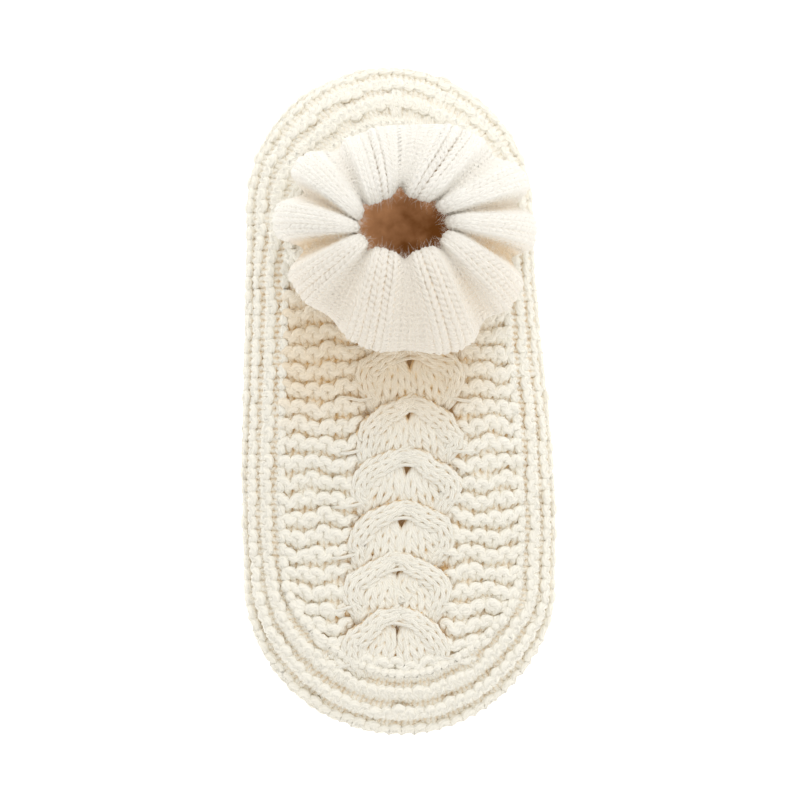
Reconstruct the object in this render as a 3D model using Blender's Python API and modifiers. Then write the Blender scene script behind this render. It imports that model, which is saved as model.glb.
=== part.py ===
"""Knitted slipper sock: a low, soft house slipper with a gathered rib cuff.

The foot is one knitted shell with a raised horseshoe cable down its instep,
linked to a dished knitted sole. A finer rib cuff stands on the ankle seam,
puffs out over the foot and gathers in to a small mouth. A thin felt insole
lies inside. The toe points to -Y, the heel to +Y, and the sole rests on z = 0.
"""

import math

import bmesh
import bpy
from mathutils import Vector

# Foot outline in plan
FOOT_LENGTH = 0.250
BALL_WIDTH = 0.117
HEEL_WIDTH = 0.107
TOE_ROUND = BALL_WIDTH * 0.4915
TOE_SWING = 0.0040
BALL_AT = 0.84

# Foot heights
WIDEST_Z = 0.0165
HEEL_HEIGHT = 0.0500
INSTEP_HEIGHT = 0.0530
TOE_HEIGHT = 0.0350
INSTEP_AT = 0.28
DOME_PLAN_POWER = 2.35
DOME_RISE_POWER = 1.80
TOE_SPRING = 0.0030
SPRING_LENGTH = 0.0300

# Walls and seams
UPPER_WALL = 0.0045
CUFF_WALL = 0.0026
SEAM_GAP = 0.0003

# Sole and insole
SOLE_EDGE_Z = 0.0090
SOLE_THICKNESS = 0.0050
SOLE_FLAT_INSET = 0.0110
DISH_ROUND = 0.0050
INSOLE_THICKNESS = 0.0030
INSOLE_CLEARANCE = 0.0010
INSOLE_BEVEL = 0.0015

# Cable down the instep
CABLE_WIDTH = 0.0410
CABLE_PITCH = 0.0205
CABLE_RISE = 0.0032
CABLE_TOE_END = 0.0290
CABLE_CREST_SHARE = 0.65
CABLE_UNDER_CUFF = 0.0150
STRAND_OUTER = 0.80
STRAND_INNER = 0.20
STRAND_SPREAD = 0.30
CABLE_EDGE = 1.15

# Ankle seam, where the foot ends and the cuff begins
NECK_X = -0.0015
NECK_FROM_HEEL = 0.0630
NECK_HALF_WIDTH = 0.0300
NECK_HALF_LENGTH = 0.0250
NECK_TOP = 0.0560
NECK_FLARE = 0.0130

# Cuff
MOUTH_X = -0.0031
MOUTH_FROM_HEEL = 0.0618
MOUTH_HALF_WIDTH = 0.0150
MOUTH_HALF_LENGTH = 0.0112
CUFF_REACH = 0.0460
CUFF_TOP = 0.0850
CUFF_CLEARANCE = 0.0012
CUFF_STAND = 0.0016
RIB_WIDTH_SHARE = 0.36
RIB_CORE_SHARE = 0.08
RIB_RAISE = 0.0014
FOLD_DEPTH = 0.0085

# One row for each rib of the cuff, going round from the front left.
# reach_deg and mouth_deg: where the rib lies at the cuff's edge and at the mouth.
# reach: share of CUFF_REACH. fold_out, fold_in: how far the panel after this rib
# sinks at the edge and at the mouth, as shares of FOLD_DEPTH.
RIBS = (
    dict(reach_deg=210, mouth_deg=208, reach=0.89, fold_out=0.14, fold_in=0.30),
    dict(reach_deg=253, mouth_deg=246, reach=0.92, fold_out=0.06, fold_in=0.16),
    dict(reach_deg=296, mouth_deg=297, reach=1.01, fold_out=0.26, fold_in=0.42),
    dict(reach_deg=330, mouth_deg=336, reach=1.02, fold_out=0.74, fold_in=0.46),
    dict(reach_deg=360, mouth_deg=365, reach=1.05, fold_out=0.66, fold_in=0.50),
    dict(reach_deg=383, mouth_deg=392, reach=1.05, fold_out=0.24, fold_in=0.30),
    dict(reach_deg=412, mouth_deg=423, reach=0.89, fold_out=0.06, fold_in=0.62),
    dict(reach_deg=475, mouth_deg=482, reach=0.74, fold_out=0.30, fold_in=0.44),
    dict(reach_deg=506, mouth_deg=518, reach=0.91, fold_out=0.78, fold_in=0.52),
    dict(reach_deg=535, mouth_deg=542, reach=0.94, fold_out=0.86, fold_in=0.52),
)

# The cuff's section has two tables. In both, across and up are where the wall's inner
# face lies from its outer face, in walls: towards the mouth's axis, and upwards.
# The underside runs from the ankle seam (out 0) to the edge (out 1), over the foot.
# lift is its height over the foot as a share of the room up to CUFF_TOP.
CUFF_UNDER = (
    dict(out=0.20, lift=0.02, across=0.30, up=1.00),
    dict(out=0.42, lift=0.02, across=0.00, up=1.00),
    dict(out=0.65, lift=0.03, across=0.10, up=1.00),
    dict(out=0.84, lift=0.06, across=0.35, up=0.95),
    dict(out=0.95, lift=0.14, across=0.70, up=0.60),
)
# The top runs from the edge (inward 0) to the mouth (inward 1) and over its lip.
# sink and spread are how a fold moves it, in folds: downwards, and away from the axis.
CUFF_OVER = (
    dict(inward=0.00, rise=0.28, sink=0.00, spread=0.00, across=1.00, up=0.00),
    dict(inward=0.03, rise=0.47, sink=0.10, spread=0.00, across=1.00, up=-0.10),
    dict(inward=0.13, rise=0.64, sink=0.45, spread=0.00, across=0.75, up=-0.60),
    dict(inward=0.30, rise=0.79, sink=0.80, spread=0.00, across=0.45, up=-0.90),
    dict(inward=0.50, rise=0.90, sink=1.00, spread=0.00, across=0.30, up=-0.95),
    dict(inward=0.68, rise=0.965, sink=1.00, spread=0.00, across=0.15, up=-1.00),
    dict(inward=0.83, rise=1.00, sink=1.00, spread=0.10, across=-0.10, up=-1.00),
    dict(inward=0.95, rise=0.985, sink=0.95, spread=0.25, across=-0.50, up=-0.85),
    dict(inward=1.02, rise=0.93, sink=0.90, spread=0.35, across=-0.90, up=-0.45),
    dict(inward=1.04, rise=0.84, sink=0.85, spread=0.40, across=-1.00, up=0.00),
)

# Rings of the foot from its widest line (0) to its middle line (1), closest on the
# round of the side and on the cable.
UPPER_TRAVEL = (0.0, 0.02, 0.07, 0.14, 0.24, 0.36, 0.49, 0.61, 0.67, 0.74, 0.81, 0.88, 0.94, 1.0)

# Mesh counts, and how close points are to be one point
WELD = 0.00002
FAN_STEPS = 16
SIDE_STEPS = 26
SEAM_FRONT_STEPS = 4
SOLE_FLAT_ROWS = (0.45, 0.0)
SOLE_WALL_ROWS = (0.12, 0.45, 1.0)
RIB_STEPS = 3
PANEL_STEPS = 4

KNIT_CREAM = (0.86, 0.82, 0.72, 1.0)
FELT_TAN = (0.30, 0.17, 0.09, 1.0)


def mix(a, b, share):
    """Value between a and b."""
    return a + (b - a) * share


def ease(share):
    """Smooth step from 0 to 1."""
    share = min(max(share, 0.0), 1.0)
    return share * share * (3.0 - 2.0 * share)


def heel_y():
    """Middle of the round of the heel."""
    return FOOT_LENGTH / 2 - HEEL_WIDTH / 2


def toe_y():
    """Middle of the round of the toe."""
    return TOE_ROUND - FOOT_LENGTH / 2


def along(y):
    """Share of the way from the heel's middle to the toe's, kept within 0 and 1."""
    return min(max((heel_y() - y) / (heel_y() - toe_y()), 0.0), 1.0)


def centre_x(y):
    """The foot's centre line, which swings a little at the toe."""
    return TOE_SWING * (ease(along(y)) - 0.5)


def half_width(y):
    """Half of the foot's width at its widest line."""
    side = mix(HEEL_WIDTH / 2, BALL_WIDTH / 2, ease(along(y) / BALL_AT))
    past_ball = ease((along(y) - BALL_AT) / (1.0 - BALL_AT))
    return mix(side, TOE_ROUND, past_ball)


def spine_height(y):
    """Height of the foot's middle line."""
    share = along(y)
    if share < INSTEP_AT:
        return mix(HEEL_HEIGHT, INSTEP_HEIGHT, ease(share / INSTEP_AT))
    return mix(INSTEP_HEIGHT, TOE_HEIGHT, ease((share - INSTEP_AT) / (1.0 - INSTEP_AT)))


def reach_share(x, y):
    """How far a plan point lies from the middle line (0) to the widest line (1)."""
    y_mid = min(max(y, toe_y()), heel_y())
    away = math.hypot(x - centre_x(y), y - y_mid)
    return min(away / half_width(y_mid), 1.0)


def toe_lift(y):
    """Toe spring: how far the underside has risen at y."""
    start = SPRING_LENGTH - FOOT_LENGTH / 2
    return TOE_SPRING * max(0.0, (start - y) / SPRING_LENGTH) ** 2


def dome_height(x, y):
    """Height of the foot's plain outer surface over a plan point, rising to the ankle seam."""
    share = reach_share(x, y)
    dome = (1.0 - share**DOME_PLAN_POWER) ** (1.0 / DOME_RISE_POWER)
    base = WIDEST_Z + toe_lift(y)
    plain = base + (spine_height(y) - base) * dome
    return mix(plain, NECK_TOP, ease(1.0 - neck_distance(x, y) / NECK_FLARE))


def neck_distance(x, y):
    """About how far a plan point lies outside the ankle seam."""
    reach = math.hypot((x - NECK_X) / NECK_HALF_WIDTH, (y - neck_y()) / NECK_HALF_LENGTH)
    return max(0.0, reach - 1.0) * (NECK_HALF_WIDTH + NECK_HALF_LENGTH) / 2


def cable_end_y():
    """Where the cable stops before the toe."""
    return CABLE_TOE_END - FOOT_LENGTH / 2


def cable_relief(x, y):
    """Rise of the horseshoe cable: in each half the outer strand crosses over to the middle."""
    offset = abs(x - centre_x(y)) / (CABLE_WIDTH / 2)
    ends = ease((y - cable_end_y()) / (CABLE_PITCH / 4))
    under_cuff = ease((cuff_front_y() + CABLE_UNDER_CUFF - y) / CABLE_UNDER_CUFF)
    unit = ((y - cable_end_y()) / CABLE_PITCH) % 1.0
    strand = mix(STRAND_OUTER, STRAND_INNER, ease(unit))
    crest = math.exp(-(((offset - strand) / STRAND_SPREAD) ** 2)) * math.sin(math.pi * unit)
    plateau = ease((CABLE_EDGE - offset) / STRAND_SPREAD) * (1.0 - CABLE_CREST_SHARE)
    return CABLE_RISE * (plateau + CABLE_CREST_SHARE * crest) * ends * under_cuff


def neck_y():
    """Middle of the ankle seam."""
    return FOOT_LENGTH / 2 - NECK_FROM_HEEL


def mouth_y():
    """Middle of the cuff's mouth."""
    return FOOT_LENGTH / 2 - MOUTH_FROM_HEEL


def cuff_front_y():
    """Front of the cuff over the instep."""
    return mouth_y() - CUFF_REACH


def outline_stations():
    """(outline point, spine point) pairs going once round the foot from the middle of the heel."""
    pairs = []

    def add(middle_y, angle):
        radius = half_width(middle_y)
        x = centre_x(middle_y)
        start = Vector((x, middle_y))
        pairs.append((start + radius * Vector((math.sin(angle), math.cos(angle))), start))

    def side(sign, backwards):
        for step in range(1, SIDE_STEPS):
            share = step / SIDE_STEPS
            y = mix(toe_y(), heel_y(), share) if backwards else mix(heel_y(), toe_y(), share)
            start = Vector((centre_x(y), y))
            pairs.append((start + Vector((sign * half_width(y), 0.0)), start))

    quarter = FAN_STEPS // 2
    for step in range(quarter + 1):
        add(heel_y(), math.pi / 2 * step / quarter)
    side(1, False)
    for step in range(FAN_STEPS + 1):
        add(toe_y(), math.pi / 2 + math.pi * step / FAN_STEPS)
    side(-1, True)
    for step in range(quarter):
        add(heel_y(), math.pi * 1.5 + math.pi / 2 * step / quarter)
    return pairs


def neck_ends(pairs):
    """For each outline station, the plan point that the cloth runs up to from it."""
    throat = neck_y() - NECK_HALF_LENGTH
    behind = [k for k, (_, start) in enumerate(pairs) if start.y > throat]
    right = [k for k in behind if k < len(pairs) / 2]
    left = [k for k in behind if k > len(pairs) / 2]
    ends = [start for _, start in pairs]

    def on_seam(angle):
        return Vector(
            (
                NECK_X + NECK_HALF_WIDTH * math.sin(angle),
                neck_y() + NECK_HALF_LENGTH * math.cos(angle),
            )
        )

    last = right[-1] + SEAM_FRONT_STEPS
    for k in range(last + 1):
        ends[k] = on_seam(math.pi * k / last)
    first = left[0] - SEAM_FRONT_STEPS
    for k in range(first, len(pairs)):
        ends[k] = on_seam(math.pi + math.pi * (k - first) / (len(pairs) - first))
    return ends


def wall_inset(z):
    """How far the wall under the widest line is tucked in at a height."""
    drop = min((WIDEST_Z - z) / WIDEST_Z, 1.0)
    return SOLE_FLAT_INSET * (1.0 - math.sqrt(1.0 - drop**2))


def new_object(name, mesh, colour, roughness):
    """An object with its own material, in the slipper's collection."""
    item = bpy.data.objects.new(name, mesh)
    material = bpy.data.materials.new(name + "_material")
    material.use_nodes = True
    shader = material.node_tree.nodes["Principled BSDF"]
    shader.inputs["Base Color"].default_value = colour
    shader.inputs["Roughness"].default_value = roughness
    material.diffuse_color = colour
    mesh.materials.append(material)
    bpy.data.collections["slipper_sock"].objects.link(item)
    return item


def lofted_mesh(name, rings):
    """A mesh from rings of points. Points that fall together are merged, and flat faces dropped."""
    mesh = bpy.data.meshes.new(name)
    shape = bmesh.new()
    rows = [[shape.verts.new(point) for point in ring] for ring in rings]
    for low, high in zip(rows, rows[1:]):
        count = len(low)
        for k in range(count):
            after = (k + 1) % count
            shape.faces.new((low[k], low[after], high[after], high[k]))
    bmesh.ops.remove_doubles(shape, verts=shape.verts, dist=WELD)
    bmesh.ops.dissolve_degenerate(shape, edges=shape.edges, dist=WELD)
    bmesh.ops.recalc_face_normals(shape, faces=shape.faces)
    shape.to_mesh(mesh)
    shape.free()
    return mesh


def upper_rings():
    """Rings of the foot's outer surface, from the sole seam up to the middle line and the ankle seam."""
    pairs = outline_stations()
    ends = neck_ends(pairs)
    rings = []
    seam_z = SOLE_EDGE_Z + SEAM_GAP
    for z in (seam_z, (seam_z + WIDEST_Z) / 2):
        rings.append(inset_ring(pairs, wall_inset(z), z))
    for travel in UPPER_TRAVEL:
        ring = []
        for (edge, _), end in zip(pairs, ends):
            spot = edge.lerp(end, travel)
            z = dome_height(spot.x, spot.y) + cable_relief(spot.x, spot.y)
            ring.append(Vector((spot.x, spot.y, z)))
        rings.append(ring)
    return rings


def solidify(item, thickness):
    """Gives an open surface its wall, on its inner side."""
    wall = item.modifiers.new("wall", "SOLIDIFY")
    wall.thickness = thickness
    wall.offset = -1.0
    wall.use_even_offset = False
    wall.use_quality_normals = True
    return item


def outward(mesh):
    """Turns an open surface's faces away from its own middle."""
    shape = bmesh.new()
    shape.from_mesh(mesh)
    middle = sum((v.co for v in shape.verts), Vector()) / len(shape.verts)
    facing = sum(
        face.calc_area() * face.normal.dot(face.calc_center_median() - middle)
        for face in shape.faces
    )
    if facing < 0:
        bmesh.ops.reverse_faces(shape, faces=shape.faces)
    shape.to_mesh(mesh)
    shape.free()


def make_upper():
    """Knitted foot, open at the ankle and underneath."""
    mesh = lofted_mesh("upper", upper_rings())
    outward(mesh)
    item = new_object("upper", mesh, KNIT_CREAM, 0.95)
    return solidify(item, UPPER_WALL)


def inset_ring(pairs, inset, height):
    """A ring set in from the outline, at a height over the toe spring."""
    ring = []
    for edge, start in pairs:
        run = (start - edge).length
        spot = edge.lerp(start, min(inset / run, 1.0))
        ring.append(Vector((spot.x, spot.y, height + toe_lift(spot.y))))
    return ring


def make_sole():
    """Dished knitted sole: flat underneath, its edge turned up to meet the foot."""
    pairs = outline_stations()
    run = max((start - edge).length for edge, start in pairs)
    lip = wall_inset(SOLE_EDGE_Z) + UPPER_WALL
    rings = [inset_ring(pairs, run, 0.0)]
    rings += [inset_ring(pairs, mix(SOLE_FLAT_INSET, run, row), 0.0) for row in SOLE_FLAT_ROWS]
    for row in SOLE_WALL_ROWS:
        height = SOLE_EDGE_Z * row
        rings.append(inset_ring(pairs, wall_inset(height), height))
    rings.append(inset_ring(pairs, lip, SOLE_EDGE_Z))
    rings.append(inset_ring(pairs, lip + DISH_ROUND / 3, mix(SOLE_THICKNESS, SOLE_EDGE_Z, 1 / 3)))
    rings.append(inset_ring(pairs, lip + DISH_ROUND, SOLE_THICKNESS))
    rings.append(inset_ring(pairs, run, SOLE_THICKNESS))
    return new_object("sole", lofted_mesh("sole", rings), KNIT_CREAM, 0.95)


def make_insole():
    """Thin felt insole lying in the dish of the sole."""
    pairs = outline_stations()
    run = max((start - edge).length for edge, start in pairs)
    edge = wall_inset(SOLE_EDGE_Z) + UPPER_WALL + DISH_ROUND + INSOLE_CLEARANCE
    low = SOLE_THICKNESS + SEAM_GAP
    high = low + INSOLE_THICKNESS
    rings = [
        inset_ring(pairs, run, low),
        inset_ring(pairs, edge, low),
        inset_ring(pairs, edge, high - INSOLE_BEVEL),
        inset_ring(pairs, edge + INSOLE_BEVEL, high),
        inset_ring(pairs, run, high),
    ]
    return new_object("insole", lofted_mesh("insole", rings), FELT_TAN, 0.9)


def rib_value(place, column):
    """A column of RIBS at a place counted in ribs, going round."""
    count = len(RIBS)
    index = math.floor(place)
    share = place - index
    turn = 360.0 if column.endswith("_deg") else 0.0
    here = RIBS[index % count][column] + turn * (index // count)
    there = RIBS[(index + 1) % count][column] + turn * ((index + 1) // count)
    return mix(here, there, share)


def panel_share(place, rib_share):
    """0 on a rib of the given width, rising to 1 in the middle of the panel after it."""
    share = place - math.floor(place)
    half = rib_share / 2
    if share < half or share > 1.0 - half:
        return 0.0
    return math.sin(math.pi * (share - half) / (1.0 - 2.0 * half))


def cuff_places():
    """Places round the cuff, closer on the ribs than between them."""
    half = RIB_WIDTH_SHARE / 2
    places = []
    for rib in range(len(RIBS)):
        for step in range(RIB_STEPS):
            places.append(rib - half + 2.0 * half * step / (RIB_STEPS - 1))
        for step in range(1, PANEL_STEPS + 1):
            places.append(rib + half + (1.0 - 2.0 * half) * step / (PANEL_STEPS + 1))
    return places


def cuff_column(place, depth, rib_share):
    """Points of the cuff at one place, from the ankle seam over the edge to inside the mouth.

    depth is how far inside the outer face the points lie, rib_share how wide a rib is there.
    """
    out_angle = math.radians(rib_value(place, "reach_deg"))
    in_angle = math.radians(rib_value(place, "mouth_deg"))
    ribs = RIBS[math.floor(place + 0.5 * RIB_WIDTH_SHARE) % len(RIBS)]
    sink = panel_share(place, rib_share)
    rib_raise = RIB_RAISE * (1.0 - sink)
    away = Vector((math.cos(out_angle), math.sin(out_angle), 0.0))
    up = Vector((0.0, 0.0, 1.0))
    fold_out = FOLD_DEPTH * ribs["fold_out"] * sink
    middle = Vector((MOUTH_X, mouth_y(), 0.0))
    edge = middle + away * (CUFF_REACH * rib_value(place, "reach") + rib_raise - fold_out)
    mouth = middle + Vector(
        (MOUTH_HALF_WIDTH * math.cos(in_angle), MOUTH_HALF_LENGTH * math.sin(in_angle), 0.0)
    )
    turn = math.atan2(
        (edge.y - neck_y()) / NECK_HALF_LENGTH, (edge.x - NECK_X) / NECK_HALF_WIDTH
    )
    seam = Vector(
        (
            NECK_X + NECK_HALF_WIDTH * math.cos(turn),
            neck_y() + NECK_HALF_LENGTH * math.sin(turn),
            0.0,
        )
    )

    def foot_z(spot):
        return dome_height(spot.x, spot.y) + CABLE_RISE + CUFF_CLEARANCE

    def inside(point, across, rise):
        return point - away * depth * across + up * depth * rise

    seam_z = NECK_TOP + SEAM_GAP
    column = [
        inside(seam + up * seam_z, 1.0, 0.0),
        inside(seam + up * (seam_z + CUFF_STAND), 1.0, 1.0),
    ]
    for row in CUFF_UNDER:
        spot = seam.lerp(edge, row["out"])
        height = mix(foot_z(spot), CUFF_TOP, row["lift"])
        column.append(inside(spot + up * height, row["across"], row["up"]))
    for row in CUFF_OVER:
        spot = edge.lerp(mouth, row["inward"])
        fold = mix(ribs["fold_out"], ribs["fold_in"], min(row["inward"], 1.0))
        drop = FOLD_DEPTH * fold * sink - rib_raise
        height = mix(foot_z(edge), CUFF_TOP, row["rise"]) - drop * row["sink"]
        point = spot + up * height + away * drop * row["spread"]
        column.append(inside(point, row["across"], row["up"]))
    return column


def make_cuff():
    """Gathered rib cuff: it stands on the ankle seam, puffs out and draws in to the mouth."""
    places = cuff_places()
    outer = [cuff_column(place, 0.0, RIB_WIDTH_SHARE) for place in places]
    inner = [cuff_column(place, CUFF_WALL, RIB_CORE_SHARE) for place in places]
    columns = [out + back[::-1] + out[:1] for out, back in zip(outer, inner)]
    mesh = lofted_mesh("cuff", [list(ring) for ring in zip(*columns)])
    return new_object("cuff", mesh, KNIT_CREAM, 0.95)


def centre_in_plan(items):
    """Moves every piece so that the slipper's box is centred on the origin."""
    bpy.context.view_layer.update()
    graph = bpy.context.evaluated_depsgraph_get()
    corners = [
        item.matrix_world @ Vector(corner)
        for item in items
        for corner in item.evaluated_get(graph).bound_box
    ]
    for axis in (0, 1):
        low = min(corner[axis] for corner in corners)
        high = max(corner[axis] for corner in corners)
        for item in items:
            item.location[axis] -= (low + high) / 2


def main():
    """Builds the slipper sock."""
    for item in list(bpy.data.objects):
        bpy.data.objects.remove(item)
    collection = bpy.data.collections.new("slipper_sock")
    bpy.context.scene.collection.children.link(collection)
    items = [make_upper(), make_sole(), make_insole(), make_cuff()]
    for item in items:
        for face in item.data.polygons:
            face.use_smooth = True
    centre_in_plan(items)


main()
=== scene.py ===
"""Looks of a chunky knitted slipper sock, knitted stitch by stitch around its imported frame.

Each sub-assembly is a class. A surface gives places on the foot or the cuff, a fabric
says which stitches lie on it, and a skein turns the stitches' paths into yarn. Lengths
are in metres, the toe points to -Y, and the sole rests on z = 0.
"""

import logging
import math
from dataclasses import dataclass, field
from enum import Enum
from typing import Any, Callable, Dict, List, Optional, Sequence, Tuple, Union

import bpy
import numpy as np
from mathutils import Matrix, Vector


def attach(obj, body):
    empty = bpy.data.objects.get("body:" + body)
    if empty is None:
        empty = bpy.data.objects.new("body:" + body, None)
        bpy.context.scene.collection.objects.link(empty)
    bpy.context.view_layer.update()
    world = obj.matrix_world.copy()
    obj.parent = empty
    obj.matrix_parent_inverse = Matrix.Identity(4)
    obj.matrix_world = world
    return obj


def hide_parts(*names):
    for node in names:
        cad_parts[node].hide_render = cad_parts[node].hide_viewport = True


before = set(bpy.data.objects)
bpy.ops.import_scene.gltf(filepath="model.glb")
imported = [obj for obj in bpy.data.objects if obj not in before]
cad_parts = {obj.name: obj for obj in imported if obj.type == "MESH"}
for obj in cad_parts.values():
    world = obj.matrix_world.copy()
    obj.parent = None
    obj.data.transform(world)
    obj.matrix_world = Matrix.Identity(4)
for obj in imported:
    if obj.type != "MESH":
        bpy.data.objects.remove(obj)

log = logging.getLogger("slipper")

Array = np.ndarray
Number = Union[float, np.ndarray]
Pair = Tuple[np.ndarray, np.ndarray]
Colour = Tuple[float, float, float]
Rows = Tuple[Tuple[float, float, float, float], ...]

TAU = 2.0 * math.pi
YARN_UNEVEN = 0.11
OUTLINE_POINTS = 640


class Slot(Enum):
    """The record's material slots that pieces stand for."""

    CHUNKY = "chunky_knit"
    SOLE = "sole_knit"
    RIB = "rib_knit"


def mix(a: Number, b: Number, share: Number) -> Number:
    """Value between a and b, for numbers or arrays."""
    return a + (b - a) * share


def ease(share: Number) -> Number:
    """Smooth step from 0 to 1, for numbers or arrays."""
    share = np.clip(share, 0.0, 1.0)
    return share * share * (3.0 - 2.0 * share)


def ramp(value: Number, start: float, length: float) -> Number:
    """Smooth step from 0 at the start to 1 a length further on; back if it is negative."""
    return ease((value - start) / length)


def unit(vectors: Array) -> Array:
    """The vectors at length one."""
    return vectors / np.maximum(np.linalg.norm(vectors, axis=-1, keepdims=True), 1e-9)


def slopes(points: Array, closed: bool) -> Array:
    """Direction of the way through each point or row of points."""
    if closed:
        return np.roll(points, -1, 0) - np.roll(points, 1, 0)
    return np.gradient(points, axis=0)


def smooth_noise(count: int, grain: float, seed: int, closed: bool = False) -> Array:
    """Random values that wander smoothly.

    Args:
        count: how many values.
        grain: how many values one wave takes.
        seed: picks the pattern.
        closed: the last value meets the first.

    Returns:
        The values, about -1 to 1.
    """
    rng = np.random.default_rng(seed)
    knots = max(int(count / grain), 2) + 1
    values = rng.uniform(-1.0, 1.0, knots + 1)
    if closed:
        values[-1] = values[0]
    at = np.linspace(0.0, knots, count, endpoint=not closed)
    low = np.minimum(at.astype(int), knots - 1)
    return mix(values[low], values[low + 1], ease(at - low))


def run_along(points: Array) -> Array:
    """Length of the way through points, from 0 at the first."""
    steps = np.linalg.norm(np.diff(points, axis=0), axis=1)
    return np.concatenate([[0.0], np.cumsum(steps)])


def read_rows(at: Array, run: Array, rows: Array) -> Array:
    """Rows of values, read between them at places along their run."""
    return np.stack([np.interp(at, run, column) for column in rows.T], 1)


def even_rows(points: Array, count: int) -> Array:
    """Spaces each row of points evenly.

    Args:
        points: rows of points, whose first three values are their place.
        count: how many points each row gets.

    Returns:
        The new rows.
    """
    rows = []
    for row in points:
        run = run_along(row[:, :3])
        rows.append(read_rows(np.linspace(0.0, run[-1], count), run, row))
    return np.stack(rows)


def curved(points: Array, steps: int = 8) -> Array:
    """Smooth curves through the points of each row.

    Args:
        points: rows of points.
        steps: new points to each old one.

    Returns:
        The rows of new points.
    """
    count = points.shape[1]
    at = np.linspace(0.0, count - 1.0, count * steps)
    low = np.minimum(at.astype(int), count - 2)
    share = (at - low)[None, :, None]
    a, b, c, d = (points[:, np.clip(low + step, 0, count - 1)] for step in (-1, 0, 1, 2))
    square = (2 * a - 5 * b + 4 * c - d) * share**2
    return 0.5 * (2 * b + (c - a) * share + square + (3 * b - 3 * c + d - a) * share**3)


def ring_quads(count: int, sides: int, closed: bool) -> Array:
    """Quads between rings of points that follow each other.

    Args:
        count: how many rings.
        sides: points in a ring.
        closed: the last ring meets the first.

    Returns:
        Corner numbers: a point, the one beside it, and the two on the next ring.
    """
    k = np.arange(count if closed else count - 1)[:, None]
    j = np.arange(sides)[None, :]
    here, after, beside = k * sides, (k + 1) % count * sides, (j + 1) % sides
    return np.stack([here + j, here + beside, after + beside, after + j], -1).reshape(-1, 4)


def mesh_object(name: str, verts: Array, quads: Array) -> bpy.types.Object:
    """Makes a smooth mesh object.

    Args:
        name: the object's and the mesh's.
        verts: its points.
        quads: its faces' corner numbers, four each.

    Returns:
        The object, linked to the scene.
    """
    mesh = bpy.data.meshes.new(name)
    mesh.vertices.add(len(verts))
    mesh.vertices.foreach_set("co", verts.astype(np.float32).ravel())
    mesh.loops.add(quads.size)
    mesh.loops.foreach_set("vertex_index", quads.astype(np.int32).ravel())
    mesh.polygons.add(len(quads))
    mesh.polygons.foreach_set("loop_start", np.arange(0, quads.size, 4, dtype=np.int32))
    mesh.update(calc_edges=True)
    mesh.validate()
    mesh.polygons.foreach_set("use_smooth", np.ones(len(mesh.polygons), bool))
    item = bpy.data.objects.new(name, mesh)
    bpy.context.scene.collection.objects.link(item)
    return item


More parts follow.
